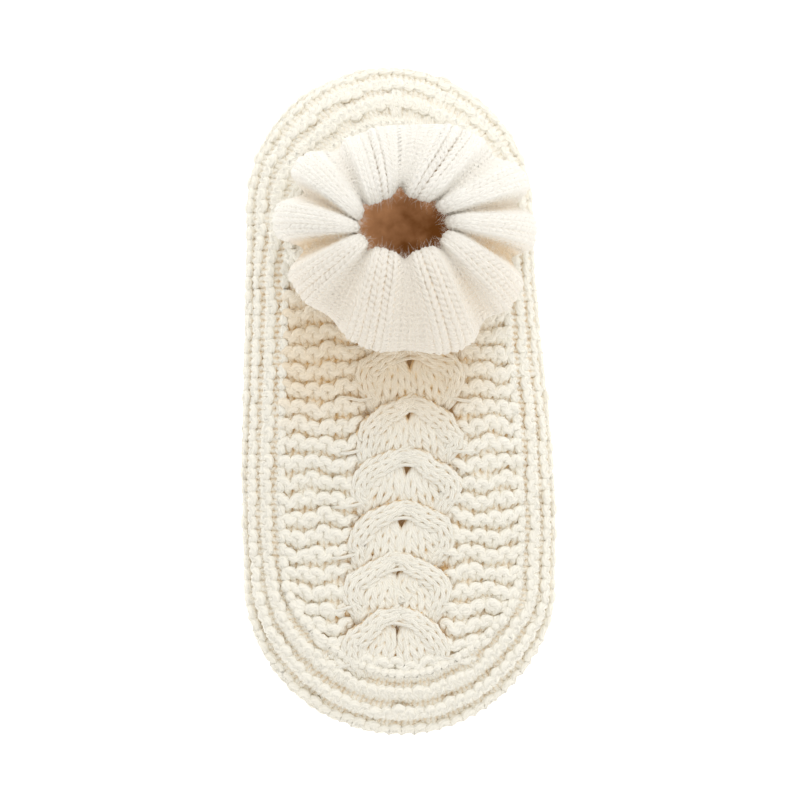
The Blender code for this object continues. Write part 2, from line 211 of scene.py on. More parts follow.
@dataclass(frozen=True)
class FootForm:
    """Sizes of the foot, as its solids have them, and its plain outer surface."""

    length: float = 0.250
    ball_width: float = 0.117
    heel_width: float = 0.107
    toe_round: float = 0.117 * 0.4915
    toe_swing: float = 0.0040
    ball_at: float = 0.84
    widest_z: float = 0.0165
    heel_height: float = 0.0500
    instep_height: float = 0.0530
    toe_height: float = 0.0350
    instep_at: float = 0.28
    plan_power: float = 2.35
    rise_power: float = 1.80
    toe_spring: float = 0.0030
    spring_length: float = 0.0300
    flat_inset: float = 0.0110
    neck_x: float = -0.0015
    neck_from_heel: float = 0.0630
    neck_half_width: float = 0.0300
    neck_half_length: float = 0.0250
    neck_top: float = 0.0560
    neck_flare: float = 0.0130

    @property
    def heel_y(self) -> float:
        """Middle of the round of the heel."""
        return self.length / 2 - self.heel_width / 2

    @property
    def toe_y(self) -> float:
        """Middle of the round of the toe."""
        return self.toe_round - self.length / 2

    @property
    def neck_y(self) -> float:
        """Middle of the ankle seam."""
        return self.length / 2 - self.neck_from_heel

    @property
    def shift(self) -> float:
        """How far the frame lies from these forms across the foot."""
        y = np.linspace(self.toe_y, self.heel_y, 400)
        high = (self.centre_x(y) + self.half_width(y)).max()
        low = (self.centre_x(y) - self.half_width(y)).min()
        return -(high + low) / 2

    def along(self, y: Number) -> Number:
        """Share of the way from the heel's middle to the toe's."""
        return np.clip((self.heel_y - y) / (self.heel_y - self.toe_y), 0.0, 1.0)

    def centre_x(self, y: Number) -> Number:
        """The foot's centre line."""
        return self.toe_swing * (ease(self.along(y)) - 0.5)

    def half_width(self, y: Number) -> Number:
        """Half of the foot's width at its widest line, at a y."""
        share = self.along(y)
        side = mix(self.heel_width / 2, self.ball_width / 2, ramp(share, 0.0, self.ball_at))
        return mix(side, self.toe_round, ramp(share, self.ball_at, 1.0 - self.ball_at))

    def spine_height(self, y: Number) -> Number:
        """Height of the foot's middle line at a y."""
        share, top = self.along(y), self.instep_at
        back = mix(self.heel_height, self.instep_height, ramp(share, 0.0, top))
        front = mix(self.instep_height, self.toe_height, ramp(share, top, 1.0 - top))
        return np.where(share < top, back, front)

    def toe_lift(self, y: Number) -> Number:
        """Toe spring: how far the underside has risen at y."""
        start = self.spring_length - self.length / 2
        return self.toe_spring * np.maximum(0.0, (start - y) / self.spring_length) ** 2

    def _reach(self, x: Number, y: Number) -> Tuple[Number, Number]:
        """How far from the middle line a plan point lies, and the widest line beside it."""
        middle = np.clip(y, self.toe_y, self.heel_y)
        return np.hypot(x - self.centre_x(y), y - middle), self.half_width(middle)

    def plan_inset(self, x: Number, y: Number) -> Number:
        """How far a plan point lies inside the widest line."""
        away, half = self._reach(x, y)
        return half - away

    def height(self, x: Number, y: Number) -> Number:
        """Height of the foot over a plan point, rising to the ankle seam.

        Args:
            x: across the foot.
            y: along it.

        Returns:
            Its outer face's z.
        """
        away, half = self._reach(x, y)
        dome = 1.0 - np.clip(away / half, 0.0, 1.0) ** self.plan_power
        base = self.widest_z + self.toe_lift(y)
        plain = base + (self.spine_height(y) - base) * dome ** (1.0 / self.rise_power)
        wide, long = self.neck_half_width, self.neck_half_length
        off = np.hypot((x - self.neck_x) / wide, (y - self.neck_y) / long) - 1.0
        off = np.maximum(0.0, off) * (wide + long) / 2
        return mix(plain, self.neck_top, ease(1.0 - off / self.neck_flare))

    def place(self, x: Array, y: Array, lift: Number) -> Pair:
        """Points on the top of the foot.

        Args:
            x: across the foot.
            y: along it.
            lift: how far the points stand off the face.

        Returns:
            The points and the face's normals there.
        """
        step = 0.0006
        slope_x = (self.height(x + step, y) - self.height(x - step, y)) / (2 * step)
        slope_y = (self.height(x, y + step) - self.height(x, y - step)) / (2 * step)
        z = self.height(x, y)
        normal = unit(np.stack([-slope_x, -slope_y, np.ones_like(z)], -1))
        return np.stack([x, y, z], -1) + normal * np.asarray(lift)[..., None], normal

    def neck(self, angle: Array, grow: float = 1.0) -> Array:
        """Plan points of the ankle seam at angles from the heel, or of a larger one."""
        across = self.neck_x + self.neck_half_width * grow * np.sin(angle)
        return np.stack([across, self.neck_y + self.neck_half_length * grow * np.cos(angle)], 1)

    def on_top(self, spot: Array) -> Array:
        """Points of the top face over plan points."""
        return np.column_stack([spot, self.height(spot[:, 0], spot[:, 1])])

    def wall_rings(self, edge: Array, inward: Array, heights: Array) -> List[Array]:
        """Rings of the wall under the widest line.

        Args:
            edge: the widest line.
            inward: its directions to the middle line.
            heights: of the rings, before the toe's lift.

        Returns:
            The rings' points.
        """
        rings = []
        for z in heights:
            drop = np.clip((self.widest_z - z) / self.widest_z, 0.0, 1.0)
            spot = edge + inward * self.flat_inset * (1.0 - np.sqrt(1.0 - drop**2))
            rings.append(np.column_stack([spot, z + self.toe_lift(edge[:, 1])]))
        return rings

    def outline(self, count: int) -> Tuple[Array, Array, Array]:
        """The widest line in plan, evenly spaced from the middle of the heel.

        Args:
            count: how many points.

        Returns:
            Its points, the middle-line points they look to, and the directions there.
        """

        def arc(first: float, last: float, points: int, y: float) -> Pair:
            """A round end between two angles, in half turns."""
            angle = np.linspace(first * math.pi, last * math.pi, points)
            middle = np.tile([[float(self.centre_x(y)), y]], (points, 1))
            out = np.stack([np.sin(angle), np.cos(angle)], 1)
            return middle + out * self.half_width(y), middle

        def side(share: Array, sign: int) -> Pair:
            """A long side at shares of the way to the toe."""
            y = mix(self.heel_y, self.toe_y, share)
            middle = np.stack([self.centre_x(y), y], 1)
            return middle + np.stack([self.half_width(y) * sign, np.zeros_like(y)], 1), middle

        run = np.linspace(0.0, 1.0, 200)[1:-1]
        parts = [
            arc(0.0, 0.5, 60, self.heel_y),
            side(run, 1),
            arc(0.5, 1.5, 120, self.toe_y),
            side(run[::-1], -1),
            arc(1.5, 2.0, 60, self.heel_y),
        ]
        edge, middle = (np.concatenate(part) for part in zip(*parts))
        run = run_along(edge)
        at = np.linspace(0.0, run[-1], count, endpoint=False)
        edge, middle = read_rows(at, run, edge), read_rows(at, run, middle)
        return edge, middle, unit(middle - edge)

    def surface(self) -> "GridSurface":
        """The whole outer face, from the floor to the middle line and the ankle seam."""
        edge, middle, inward = self.outline(240)
        ends = middle.copy()
        throat = self.neck_y - self.neck_half_length - 0.018
        half = len(edge) // 2
        last = int(np.max(np.nonzero(middle[:half, 1] > throat)[0]))
        ends[: last + 1] = self.neck(np.pi * np.arange(last + 1) / last)
        ends[len(edge) - last :] = self.neck(math.pi + math.pi * np.arange(last) / last)
        rings = self.wall_rings(edge, inward, np.linspace(0.0030, self.widest_z, 10)[:-1])
        for share in np.linspace(0.0, 1.0, 34) ** 1.35:
            rings.append(self.on_top(mix(edge, ends, share)))
        return GridSurface(np.stack(rings, 1), True)


class GridSurface:
    """A smooth surface through a grid of points, read by two shares."""

    def __init__(self, points: Array, closed: bool) -> None:
        """Takes rows of points, the last of which meets the first where it is closed."""
        self.points = points
        self.closed = closed
        normals = unit(np.cross(slopes(points, closed), np.gradient(points, axis=1)))
        facing = (normals * (points - points.reshape(-1, 3).mean(0))).sum()
        self.normals = normals if facing > 0 else -normals

    def place(self, u: Array, v: Array, lift: Number) -> Pair:
        """Points on the surface.

        Args:
            u: shares of the way through the rows.
            v: shares of the way along a row.
            lift: how far the points stand off the surface.

        Returns:
            The points and the normals there.
        """
        rows, columns = self.points.shape[:2]
        at_u = (u % 1.0) * rows if self.closed else np.clip(u, 0.0, 1.0) * (rows - 1)
        at_v = np.clip(v, 0.0, 1.0) * (columns - 1)
        low_u = np.floor(at_u).astype(int)
        low_u = low_u % rows if self.closed else np.minimum(low_u, rows - 2)
        high_u = (low_u + 1) % rows
        low_v = np.minimum(at_v.astype(int), columns - 2)
        share_u = (at_u - np.floor(at_u) if self.closed else at_u - low_u)[..., None]
        share_v = (at_v - low_v)[..., None]

        def read(values: Array) -> Array:
            """The grid's values between their four neighbours."""
            first = mix(values[low_u, low_v], values[high_u, low_v], share_u)
            second = mix(values[low_u, low_v + 1], values[high_u, low_v + 1], share_u)
            return mix(first, second, share_v)

        normal = unit(read(self.normals))
        return read(self.points) + normal * np.asarray(lift)[..., None], normal


@dataclass(frozen=True)
class Loop:
    """Shape of one knitted loop, in shares of its stitch and its course."""

    samples: int = 14
    bow: float = 0.20
    tall: float = 0.80
    depth: float = 0.0014
    turned: float = 0.35

    @property
    def turns(self) -> Array:
        """Angles through the loop, from its left foot round its head."""
        return np.arange(self.samples) * TAU / self.samples

    def side(self) -> Array:
        """Sideways place in stitches, from the stitch's left edge."""
        return self.turns / TAU + self.bow * np.sin(2 * self.turns)

    def rise(self) -> Array:
        """Place along the wale in courses, from the course's middle."""
        return -self.tall * np.cos(self.turns)

    def lift(self, own: Array, above: Array) -> Array:
        """How far each point stands out, for rows of knit (1) and purl (-1) stitches.

        Args:
            own: this course's stitches.
            above: the stitches that the next course works into them.

        Returns:
            Heights, one row for each stitch.
        """
        own = own.astype(float)
        middle = own * np.where(own == above, 1.0, self.turned)
        halves = []
        for beside in (np.roll(own, 1), np.roll(own, -1)):
            feet, head = -(beside + own) / 2, -above
            level = ((feet + head) / 2 + middle) / 2
            swing = (feet - head) / 2
            double = ((feet + head) / 2 - middle) / 2
            waves = swing[:, None] * np.cos(self.turns) + double[:, None] * np.cos(2 * self.turns)
            halves.append(level[:, None] + waves)
        return np.where(self.turns <= math.pi, *halves) * self.depth

    def humps(self, rng: np.random.Generator, count: int, amount: float) -> Array:
        """Random swells, one for each stitch, that vanish at its feet."""
        return rng.normal(0.0, amount, (count, 1)) * np.sin(self.turns / 2) ** 2


def gap_shade_strength(points: Array) -> Array:
    """How strongly the painted shade between stitches shows at places: most before the cuff, least
    at the lit heel and low sides.
    """
    y, z = points[:, 1], points[:, 2]
    toe = mix(1.35, 1.15, ramp(y, -0.125, 0.090))
    heel = mix(1.0, 0.30, ramp(y, 0.045, 0.040))
    return toe * heel * mix(0.25, 1.0, ramp(z, 0.012, 0.024))


def cuff_cast_shadow(points: Array) -> Array:
    """Painted shadow of the cuff: how tan the wool is in front of it."""
    x, y = points[:, 0], points[:, 1]
    return 0.38 * ramp(y, -0.022, 0.034) * ramp(y, 0.050, -0.020) * ramp(x, 0.046, -0.030)


def cuff_front_shade(points: Array) -> Array:
    """Painted shade on the cuff's front, which faces away from the light: how tan the wool is
    there.
    """
    return 0.13 * ramp(points[:, 1], 0.070, -0.034)


@dataclass
class Strand:
    """One run of yarn: points, surface normals, thickness, height over the knit's middle."""

    points: Array
    normals: Array
    radius: Array
    height: Array
    closed: bool
    tone: float = 0.0


@dataclass
class Skein:
    """Yarn of one finish, gathered as strands and made one mesh."""

    name: str
    slot: Slot
    sides: int = 6
    squash: float = 0.9
    # Painted shade where the yarn lies low between stitches: how much, and in yarn radii where it
    # starts and how far it ramps.
    gap_shade_share: float = 1.0
    gap_shade_start: float = 0.62
    gap_shade_ramp: float = 1.05
    # A painted shadow by place, added to that.
    shade: Optional[Callable[[Array], Array]] = None
    strands: List[Strand] = field(default_factory=list)

    def add(self, placed: Pair, radius: Number, height: Number, closed: bool, tone: float) -> None:
        """Adds a strand.

        Args:
            placed: the points and the surface normals there.
            radius: yarn radius, one for all or one for each point.
            height: how far each point stands over the knit's middle, which sets its painted shade.
            closed: the last point meets the first.
            tone: -1 to 1, darker to lighter.
        """
        shape = (len(placed[0]),)
        radius, height = (np.broadcast_to(value, shape) for value in (radius, height))
        self.strands.append(Strand(*placed, radius, height, closed, tone))

    def _ring(self, strand: Strand) -> Pair:
        """Makes a strand's tube.

        Args:
            strand: the yarn's run.

        Returns:
            The tube's points and each one's painted shade, from 0 on top to 1 at the bottom, where
            the yarn lies low in the knit.
        """
        points = strand.points
        path = unit(slopes(points, strand.closed))
        beside = unit(np.cross(path, strand.normals))
        outer = np.cross(beside, path)
        angles = np.arange(self.sides) * TAU / self.sides
        up = self.squash * np.cos(angles)
        off = up[:, None] * outer[:, None] + np.sin(angles)[:, None] * beside[:, None]
        ring = points[:, None] + strand.radius[:, None, None] * off
        size = float(np.median(strand.radius))
        top = strand.height[:, None] + size * up
        # Painted shade: tan on the low sides of the yarn, scaled by place.
        painted_shade = ramp(top, self.gap_shade_start * size, -self.gap_shade_ramp * size)
        painted_shade = painted_shade * self.gap_shade_share * gap_shade_strength(points)[:, None]
        if self.shade:
            painted_shade = painted_shade + self.shade(points)[:, None]
        return ring.reshape(-1, 3), np.minimum(painted_shade, 1.0).ravel()

    def _faces(self, strand: Strand) -> Pair:
        """A tube's quads with its flat ends.

        Args:
            strand: the yarn's run.

        Returns:
            Corner numbers, and each corner's millimetres along and share round the yarn.
        """
        count = len(strand.points)
        faces = ring_quads(count, self.sides, strand.closed)
        run = run_along(np.vstack([strand.points, strand.points[:1]])) * 1000.0
        along = np.stack([run[:-1], run[:-1], run[1:], run[1:]], -1)
        along = along[: len(faces) // self.sides, None]
        j = np.arange(self.sides)
        around = np.stack([j, j + 1, j + 1, j], -1)[None] / self.sides
        uv = np.stack(np.broadcast_arrays(along, around), -1).reshape(-1, 2)
        if not strand.closed:
            ends = np.array([j[::-1], j + (count - 1) * self.sides])
            starts = range(1, self.sides - 2, 2)
            caps = np.stack([end[[0, m, m + 1, m + 2]] for end in ends for m in starts])
            faces = np.concatenate([faces, caps])
            uv = np.concatenate([uv, np.zeros((caps.size, 2))])
        return faces, uv

    def build(self, shift: float) -> bpy.types.Object:
        """Makes the mesh object.

        Args:
            shift: moves it across, onto the frame.

        Returns:
            The object, with the yarn's UV, tone and painted shade.
        """
        rings, shade_values = zip(*(self._ring(strand) for strand in self.strands))
        faces, uvs = zip(*(self._faces(strand) for strand in self.strands))
        starts = np.cumsum([0] + [len(ring) for ring in rings])
        faces = np.concatenate([face + start for face, start in zip(faces, starts)])
        tones = [np.full(len(r), strand.tone) for r, strand in zip(rings, self.strands)]
        verts = np.concatenate(rings)
        verts[:, 0] += shift
        verts[:, 2] = np.maximum(verts[:, 2], 0.0)
        item = mesh_object(self.name, verts, faces)
        layer = item.data.uv_layers.new(name="yarn")
        layer.data.foreach_set("uv", np.concatenate(uvs).astype(np.float32).ravel())
        for name, values in (("tone", tones), ("painted_shade", shade_values)):
            layer = item.data.attributes.new(name, "FLOAT", "POINT")
            layer.data.foreach_set("value", np.concatenate(values).astype(np.float32))
        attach(item, "root")
        return item


@dataclass(frozen=True)
class GarterBand:
    """Garter courses that fill a surface from its first edge to its last."""

    stitches: int
    courses: int
    closed: bool
    seed: int
    noise_seed: int
    start: float
    spare: float
    uneven: float
    loop: Loop = Loop()
    sway: float = 0.06
    bumps: float = 0.00028
    yarn: float = 0.00168
    mid: float = -0.0017

    def knit(
        self,
        skein: Skein,
        surface: GridSurface,
        swell: Number = 1.0,
        thick: Number = 1.0,
        wave: Number = 0.0,
    ) -> None:
        """Adds the courses to a skein.

        Args:
            skein: takes the yarn.
            surface: what they lie on.
            swell: how much taller the loops stand, for each stitch.
            thick: how much thicker the yarn is, for each stitch.
            wave: how far each stitch is moved along its wale, in courses.
        """
        loop, count = self.loop, self.stitches
        rng = np.random.default_rng(self.seed)
        index = np.arange(count)[:, None]
        for row in range(self.courses):
            kind = np.full(count, 1 if row % 2 == 0 else -1)
            u = (index + loop.side() + loop.humps(rng, count, self.sway)) / count
            v = row + self.start + loop.rise() + loop.humps(rng, count, self.uneven) + wave
            v = v / (self.courses + self.spare)
            height = loop.lift(kind, -kind) * swell + loop.humps(rng, count, self.bumps)
            placed = surface.place(u.ravel(), v.ravel(), self.mid + height.ravel())
            noise = smooth_noise(height.size, 9, self.noise_seed + row, self.closed)
            radius = self.yarn * (1.0 + YARN_UNEVEN * noise)
            radius = radius * np.broadcast_to(thick, height.shape).ravel()
            skein.add(placed, radius, height.ravel(), self.closed, float(rng.uniform(-1, 1)))


@dataclass(frozen=True)
class SideWall:
    """Garter rounds from the floor up the sides, round the toe and the heel."""

    foot: FootForm
    band: GarterBand = GarterBand(
        stitches=132,
        courses=11,
        closed=True,
        seed=11,
        noise_seed=1100,
        start=0.5,
        spare=-0.2,
        uneven=0.13,
        loop=Loop(samples=12),
    )
    floor_z: float = 0.0012
    side_inset: float = 0.0136
    toe_inset: float = 0.0230
    heel_inset: float = 0.0235
    swell: Tuple[float, float] = (0.85, 1.30)
    thick: Tuple[float, float] = (1.03, 1.13)
    wave: float = 0.16
    wave_seed: int = 12

    def top_inset(self, y: Number) -> Number:
        """How far in the wall's upper edge lies, at an outline point's y."""
        toe = (self.toe_inset - self.side_inset) * ramp(y, -0.060, -0.060)
        return self.side_inset + toe + (self.heel_inset - self.side_inset) * ramp(y, 0.060, 0.055)

    def surface(self) -> GridSurface:
        """The wall's outer face, from the floor to its upper edge."""
        edge, _, inward = self.foot.outline(OUTLINE_POINTS)
        heights = np.linspace(self.floor_z, self.foot.widest_z, 24)[:-1]
        rings = self.foot.wall_rings(edge, inward, heights)
        top = self.top_inset(edge[:, 1])[:, None]
        for share in np.linspace(0.0, 1.0, 40) ** 1.6:
            rings.append(self.foot.on_top(edge + inward * (top * share)))
        return GridSurface(even_rows(np.stack(rings, 1), 60), True)

    def knit(self, skein: Skein) -> None:
        """Adds the closed rounds to a skein: tighter at the sides than round the toe."""
        surface, count = self.surface(), self.band.stitches
        spots = surface.points[(np.arange(count) * OUTLINE_POINTS) // count, 0, 1]
        toe = ramp(spots, -0.050, -0.030)[:, None]
        wave = self.wave * smooth_noise(count, 5, self.wave_seed, True)[:, None]
        self.band.knit(skein, surface, mix(*self.swell, toe), mix(*self.thick, toe), wave)


@dataclass(frozen=True)
class AnkleBack:
    """Garter courses from the side wall up to the ankle seam, round the heel."""

    foot: FootForm
    wall: SideWall
    band: GarterBand = GarterBand(
        stitches=36,
        courses=6,
        closed=False,
        seed=23,
        noise_seed=1300,
        start=0.6,
        spare=0.2,
        uneven=0.07,
    )
    from_y: float = 0.050
    half_turn: float = 0.70

    def surface(self) -> GridSurface:
        """The heel's upper face, from the side wall to the ankle seam."""
        edge, _, inward = self.foot.outline(OUTLINE_POINTS)
        first = edge + inward * self.wall.top_inset(edge[:, 1])[:, None]
        order = np.roll(np.arange(len(edge)), len(edge) // 2)
        first = first[order[edge[order, 1] > self.from_y]]
        turn = math.pi * self.half_turn
        seam = self.foot.neck(np.linspace(-turn, turn, len(first)), 1.03)
        shares = np.linspace(0.0, 1.0, 50)
        rings = [self.foot.on_top(mix(first, seam, share)) for share in shares]
        return GridSurface(even_rows(np.stack(rings, 1), 60), False)

    def knit(self, skein: Skein) -> None:
        """Adds the courses to a skein."""
        self.band.knit(skein, self.surface())


@dataclass(frozen=True)
class Instep:
    """Garter stitch on top, each side of the cable and under its toe end."""

    foot: FootForm
    wall: SideWall
    cable: "Cable"
    course: float = 0.00341
    first: float = 0.0252
    last: float = 0.183
    cable_half: float = 0.0207
    cable_from: float = 0.0300
    under_cable: float = 0.0042
    over: float = 0.0016
    tuck: float = 0.0016
    stitch: float = 0.0053
    wave: float = 0.0009
    bend_reach: float = 0.045
    bend: float = 0.45
    yarn: float = 0.00172
    loop: Loop = Loop(depth=0.00158)
    mid: float = -0.0018
    sway: float = 0.06
    stray: float = 0.09
    bumps: float = 0.00032
    seed: int = 5
    noise_seed: int = 700

    def row_y(self, x: Array, down: Number) -> Array:
        """Where courses lie, by the distance from the toe at which they cross the middle."""
        radius = self.foot.toe_round
        x = np.clip(np.abs(x - self.foot.centre_x(self.foot.toe_y)), 0.0, radius * 0.96)
        bend = self.bend * (1.0 - ramp(down, 0.012, self.bend_reach))
        return -self.foot.length / 2 + down + bend * (radius - np.sqrt(radius**2 - x**2))

    def knit(self, skein: Skein) -> None:
        """Adds the panel's courses to a skein."""
        rng = np.random.default_rng(self.seed)
        for row in range(int((self.last - self.first) / self.course)):
            down = self.first + self.course * row
            kind = 1 if row % 2 == 0 else -1
            parted = down > self.cable_from
            runs = [self._run(down, kind, side, rng, parted) for side in (-1, 1)]
            if parted:
                for side, run in enumerate(runs):
                    self._add(skein, [run], row * 2 + side, rng)
            elif all(run is not None for run in runs):
                turned = tuple(part[::-1] for part in runs[0])
                self._add(skein, [turned, runs[1]], row * 2, rng)

    def _add(
        self, skein: Skein, runs: Sequence[Any], seed: int, rng: np.random.Generator
    ) -> None:
        """Adds joined runs as one strand, where there are any.

        Args:
            skein: takes the yarn.
            runs: points, normals and heights, in order, or None.
            seed: picks the yarn's unevenness.
            rng: picks its tone.
        """
        if any(run is None for run in runs):
            return
        points, normals, height = (np.concatenate(part) for part in zip(*runs))
        noise = smooth_noise(len(points), 9, self.noise_seed + seed)
        radius = self.yarn * (1.0 + YARN_UNEVEN * noise)
        skein.add((points, normals), radius, height, False, float(rng.uniform(-1, 1)))

    def _arc(self, down: float) -> Pair:
        """Plan x against length along a course, from the middle line outwards."""
        x = np.linspace(0.0, self.foot.ball_width / 2, 240)
        y = self.row_y(x + self.foot.centre_x(-0.02), down)
        z = self.foot.height(x + self.foot.centre_x(y), y)
        return x, run_along(np.stack([x, z], 1))

    def _run(
        self, down: float, kind: int, side: int, rng: np.random.Generator, parted: bool
    ) -> Optional[Tuple[Array, Array, Array]]:
        """One side of a course, from the cable or the middle outwards to the side wall.

        Args:
            down: distance from the toe at the middle line.
            kind: knit (1) or purl (-1).
            side: -1 or 1 across the foot.
            rng: picks the stitches' unevenness.
            parted: the course starts under the cable's edge.

        Returns:
            Points, normals and heights, or None where there is no room.
        """
        loop = self.loop
        x_table, run = self._arc(down)
        aside = side * self.cable.aside(down - self.foot.length / 2)
        edge = np.interp(self.cable_half + aside, x_table, run)
        start = edge - self.under_cable if parted else 0.0
        middle = self.foot.centre_x(-self.foot.length / 2 + down)
        x = middle + side * x_table
        y = self.row_y(x, down)
        free = self.foot.plan_inset(x, y) > self.wall.top_inset(y)
        room = run[np.flatnonzero(free)[-1]] - start + self.over if free.any() else 0.0
        count = round(room / self.stitch)
        if count < 1:
            return None
        across = np.arange(count)[:, None] + loop.side() + loop.humps(rng, count, self.sway)
        across = start + room / count * across
        depth = down + self.course * (loop.rise() + loop.humps(rng, count, self.stray))
        x = middle + side * np.interp(across, run, x_table)
        y = self.row_y(x, depth)
        y = y + self.wave * (np.sin(260.0 * x + 90.0 * y) + 0.7 * np.sin(520.0 * x - 210.0 * y))
        kinds = np.full(count, kind)
        height = loop.lift(kinds, -kinds) + loop.humps(rng, count, self.bumps)
        tuck = ramp(across, edge, -0.004) if parted else 0.0
        tuck = tuck + ramp(across, start + room - 0.0022, 0.0026)
        height = (height - self.tuck * tuck).ravel()
        return (*self.foot.place(x.ravel(), y.ravel(), self.mid + height), height)


class Way:
    """A smooth path in plan with a lift and a width, read by its length."""

    def __init__(self, rows: Sequence[Tuple[float, float, float, float]]) -> None:
        """Takes rows of across, along, lift and width, in millimetres."""
        self.values = curved(np.array([rows], float) / 1000.0, 12)[0]
        self.run = run_along(self.values[:, :2])
        side = unit(np.gradient(self.values[:, :2], axis=0))[:, ::-1] * np.array([1.0, -1.0])
        self.values = np.hstack([self.values, side])

    @property
    def length(self) -> float:
        """The path's length."""
        return float(self.run[-1])

    def at(self, place: Array) -> Array:
        """Across, along, lift, width and the sideways direction's two parts at lengths."""
        return read_rows(np.clip(place, 0.0, self.length), self.run, self.values).T


Spot = Callable[[Array, Array], Pair]


@dataclass(frozen=True)
class Tape:
    """Knit wales side by side along a way, with rolled edges."""

    wales: int
    pitch: float = 0.0040
    roll: float = 0.0013
    yarn: float = 0.00104
    # Lowers the height handed to the skein, which paints more tan shade on these wales; the yarn's
    # place stays.
    low: float = 0.0
    sway: float = 0.05
    stray: float = 0.08
    bumps: float = 0.00016
    uneven: float = 0.07
    loop: Loop = Loop(samples=12, bow=0.24, tall=1.02, depth=0.00055)

    def knit(self, skein: Skein, foot: FootForm, way: Way, spot: Spot, seed: int) -> None:
        """Adds the tape's courses to a skein.

        Args:
            skein: takes the yarn.
            foot: what the tape lies on.
            way: the tape's path.
            spot: turns the way's across and along into plan x and y.
            seed: picks the unevenness.
        """
        rng = np.random.default_rng(seed)
        loop, wales = self.loop, self.wales
        courses = max(int(way.length / self.pitch), 1)
        kind = np.ones(wales)
        for row in range(courses):
            u = np.arange(wales)[:, None] + loop.side() + loop.humps(rng, wales, self.sway)
            v = row + 0.5 + loop.rise() + loop.humps(rng, wales, self.stray)
            across, along, lift, width, aside_x, aside_y = way.at(v.ravel() * way.length / courses)
            share = u.ravel() / wales
            off = (share - 0.5) * width
            height = (loop.lift(kind, kind) + loop.humps(rng, wales, self.bumps)).ravel()
            roll = self.roll * np.abs(2 * share - 1.0) ** 2.5
            x, y = spot(across + aside_x * off, along + aside_y * off)
            placed = foot.place(x, y, lift + height - roll)
            noise = smooth_noise(len(x), 7, seed * 50 + row)
            radius = self.yarn * (1.0 + self.uneven * noise)
            # The height handed over sets only the painted shade.
            skein.add(placed, radius, height - self.low, False, float(rng.uniform(-1, 1)))


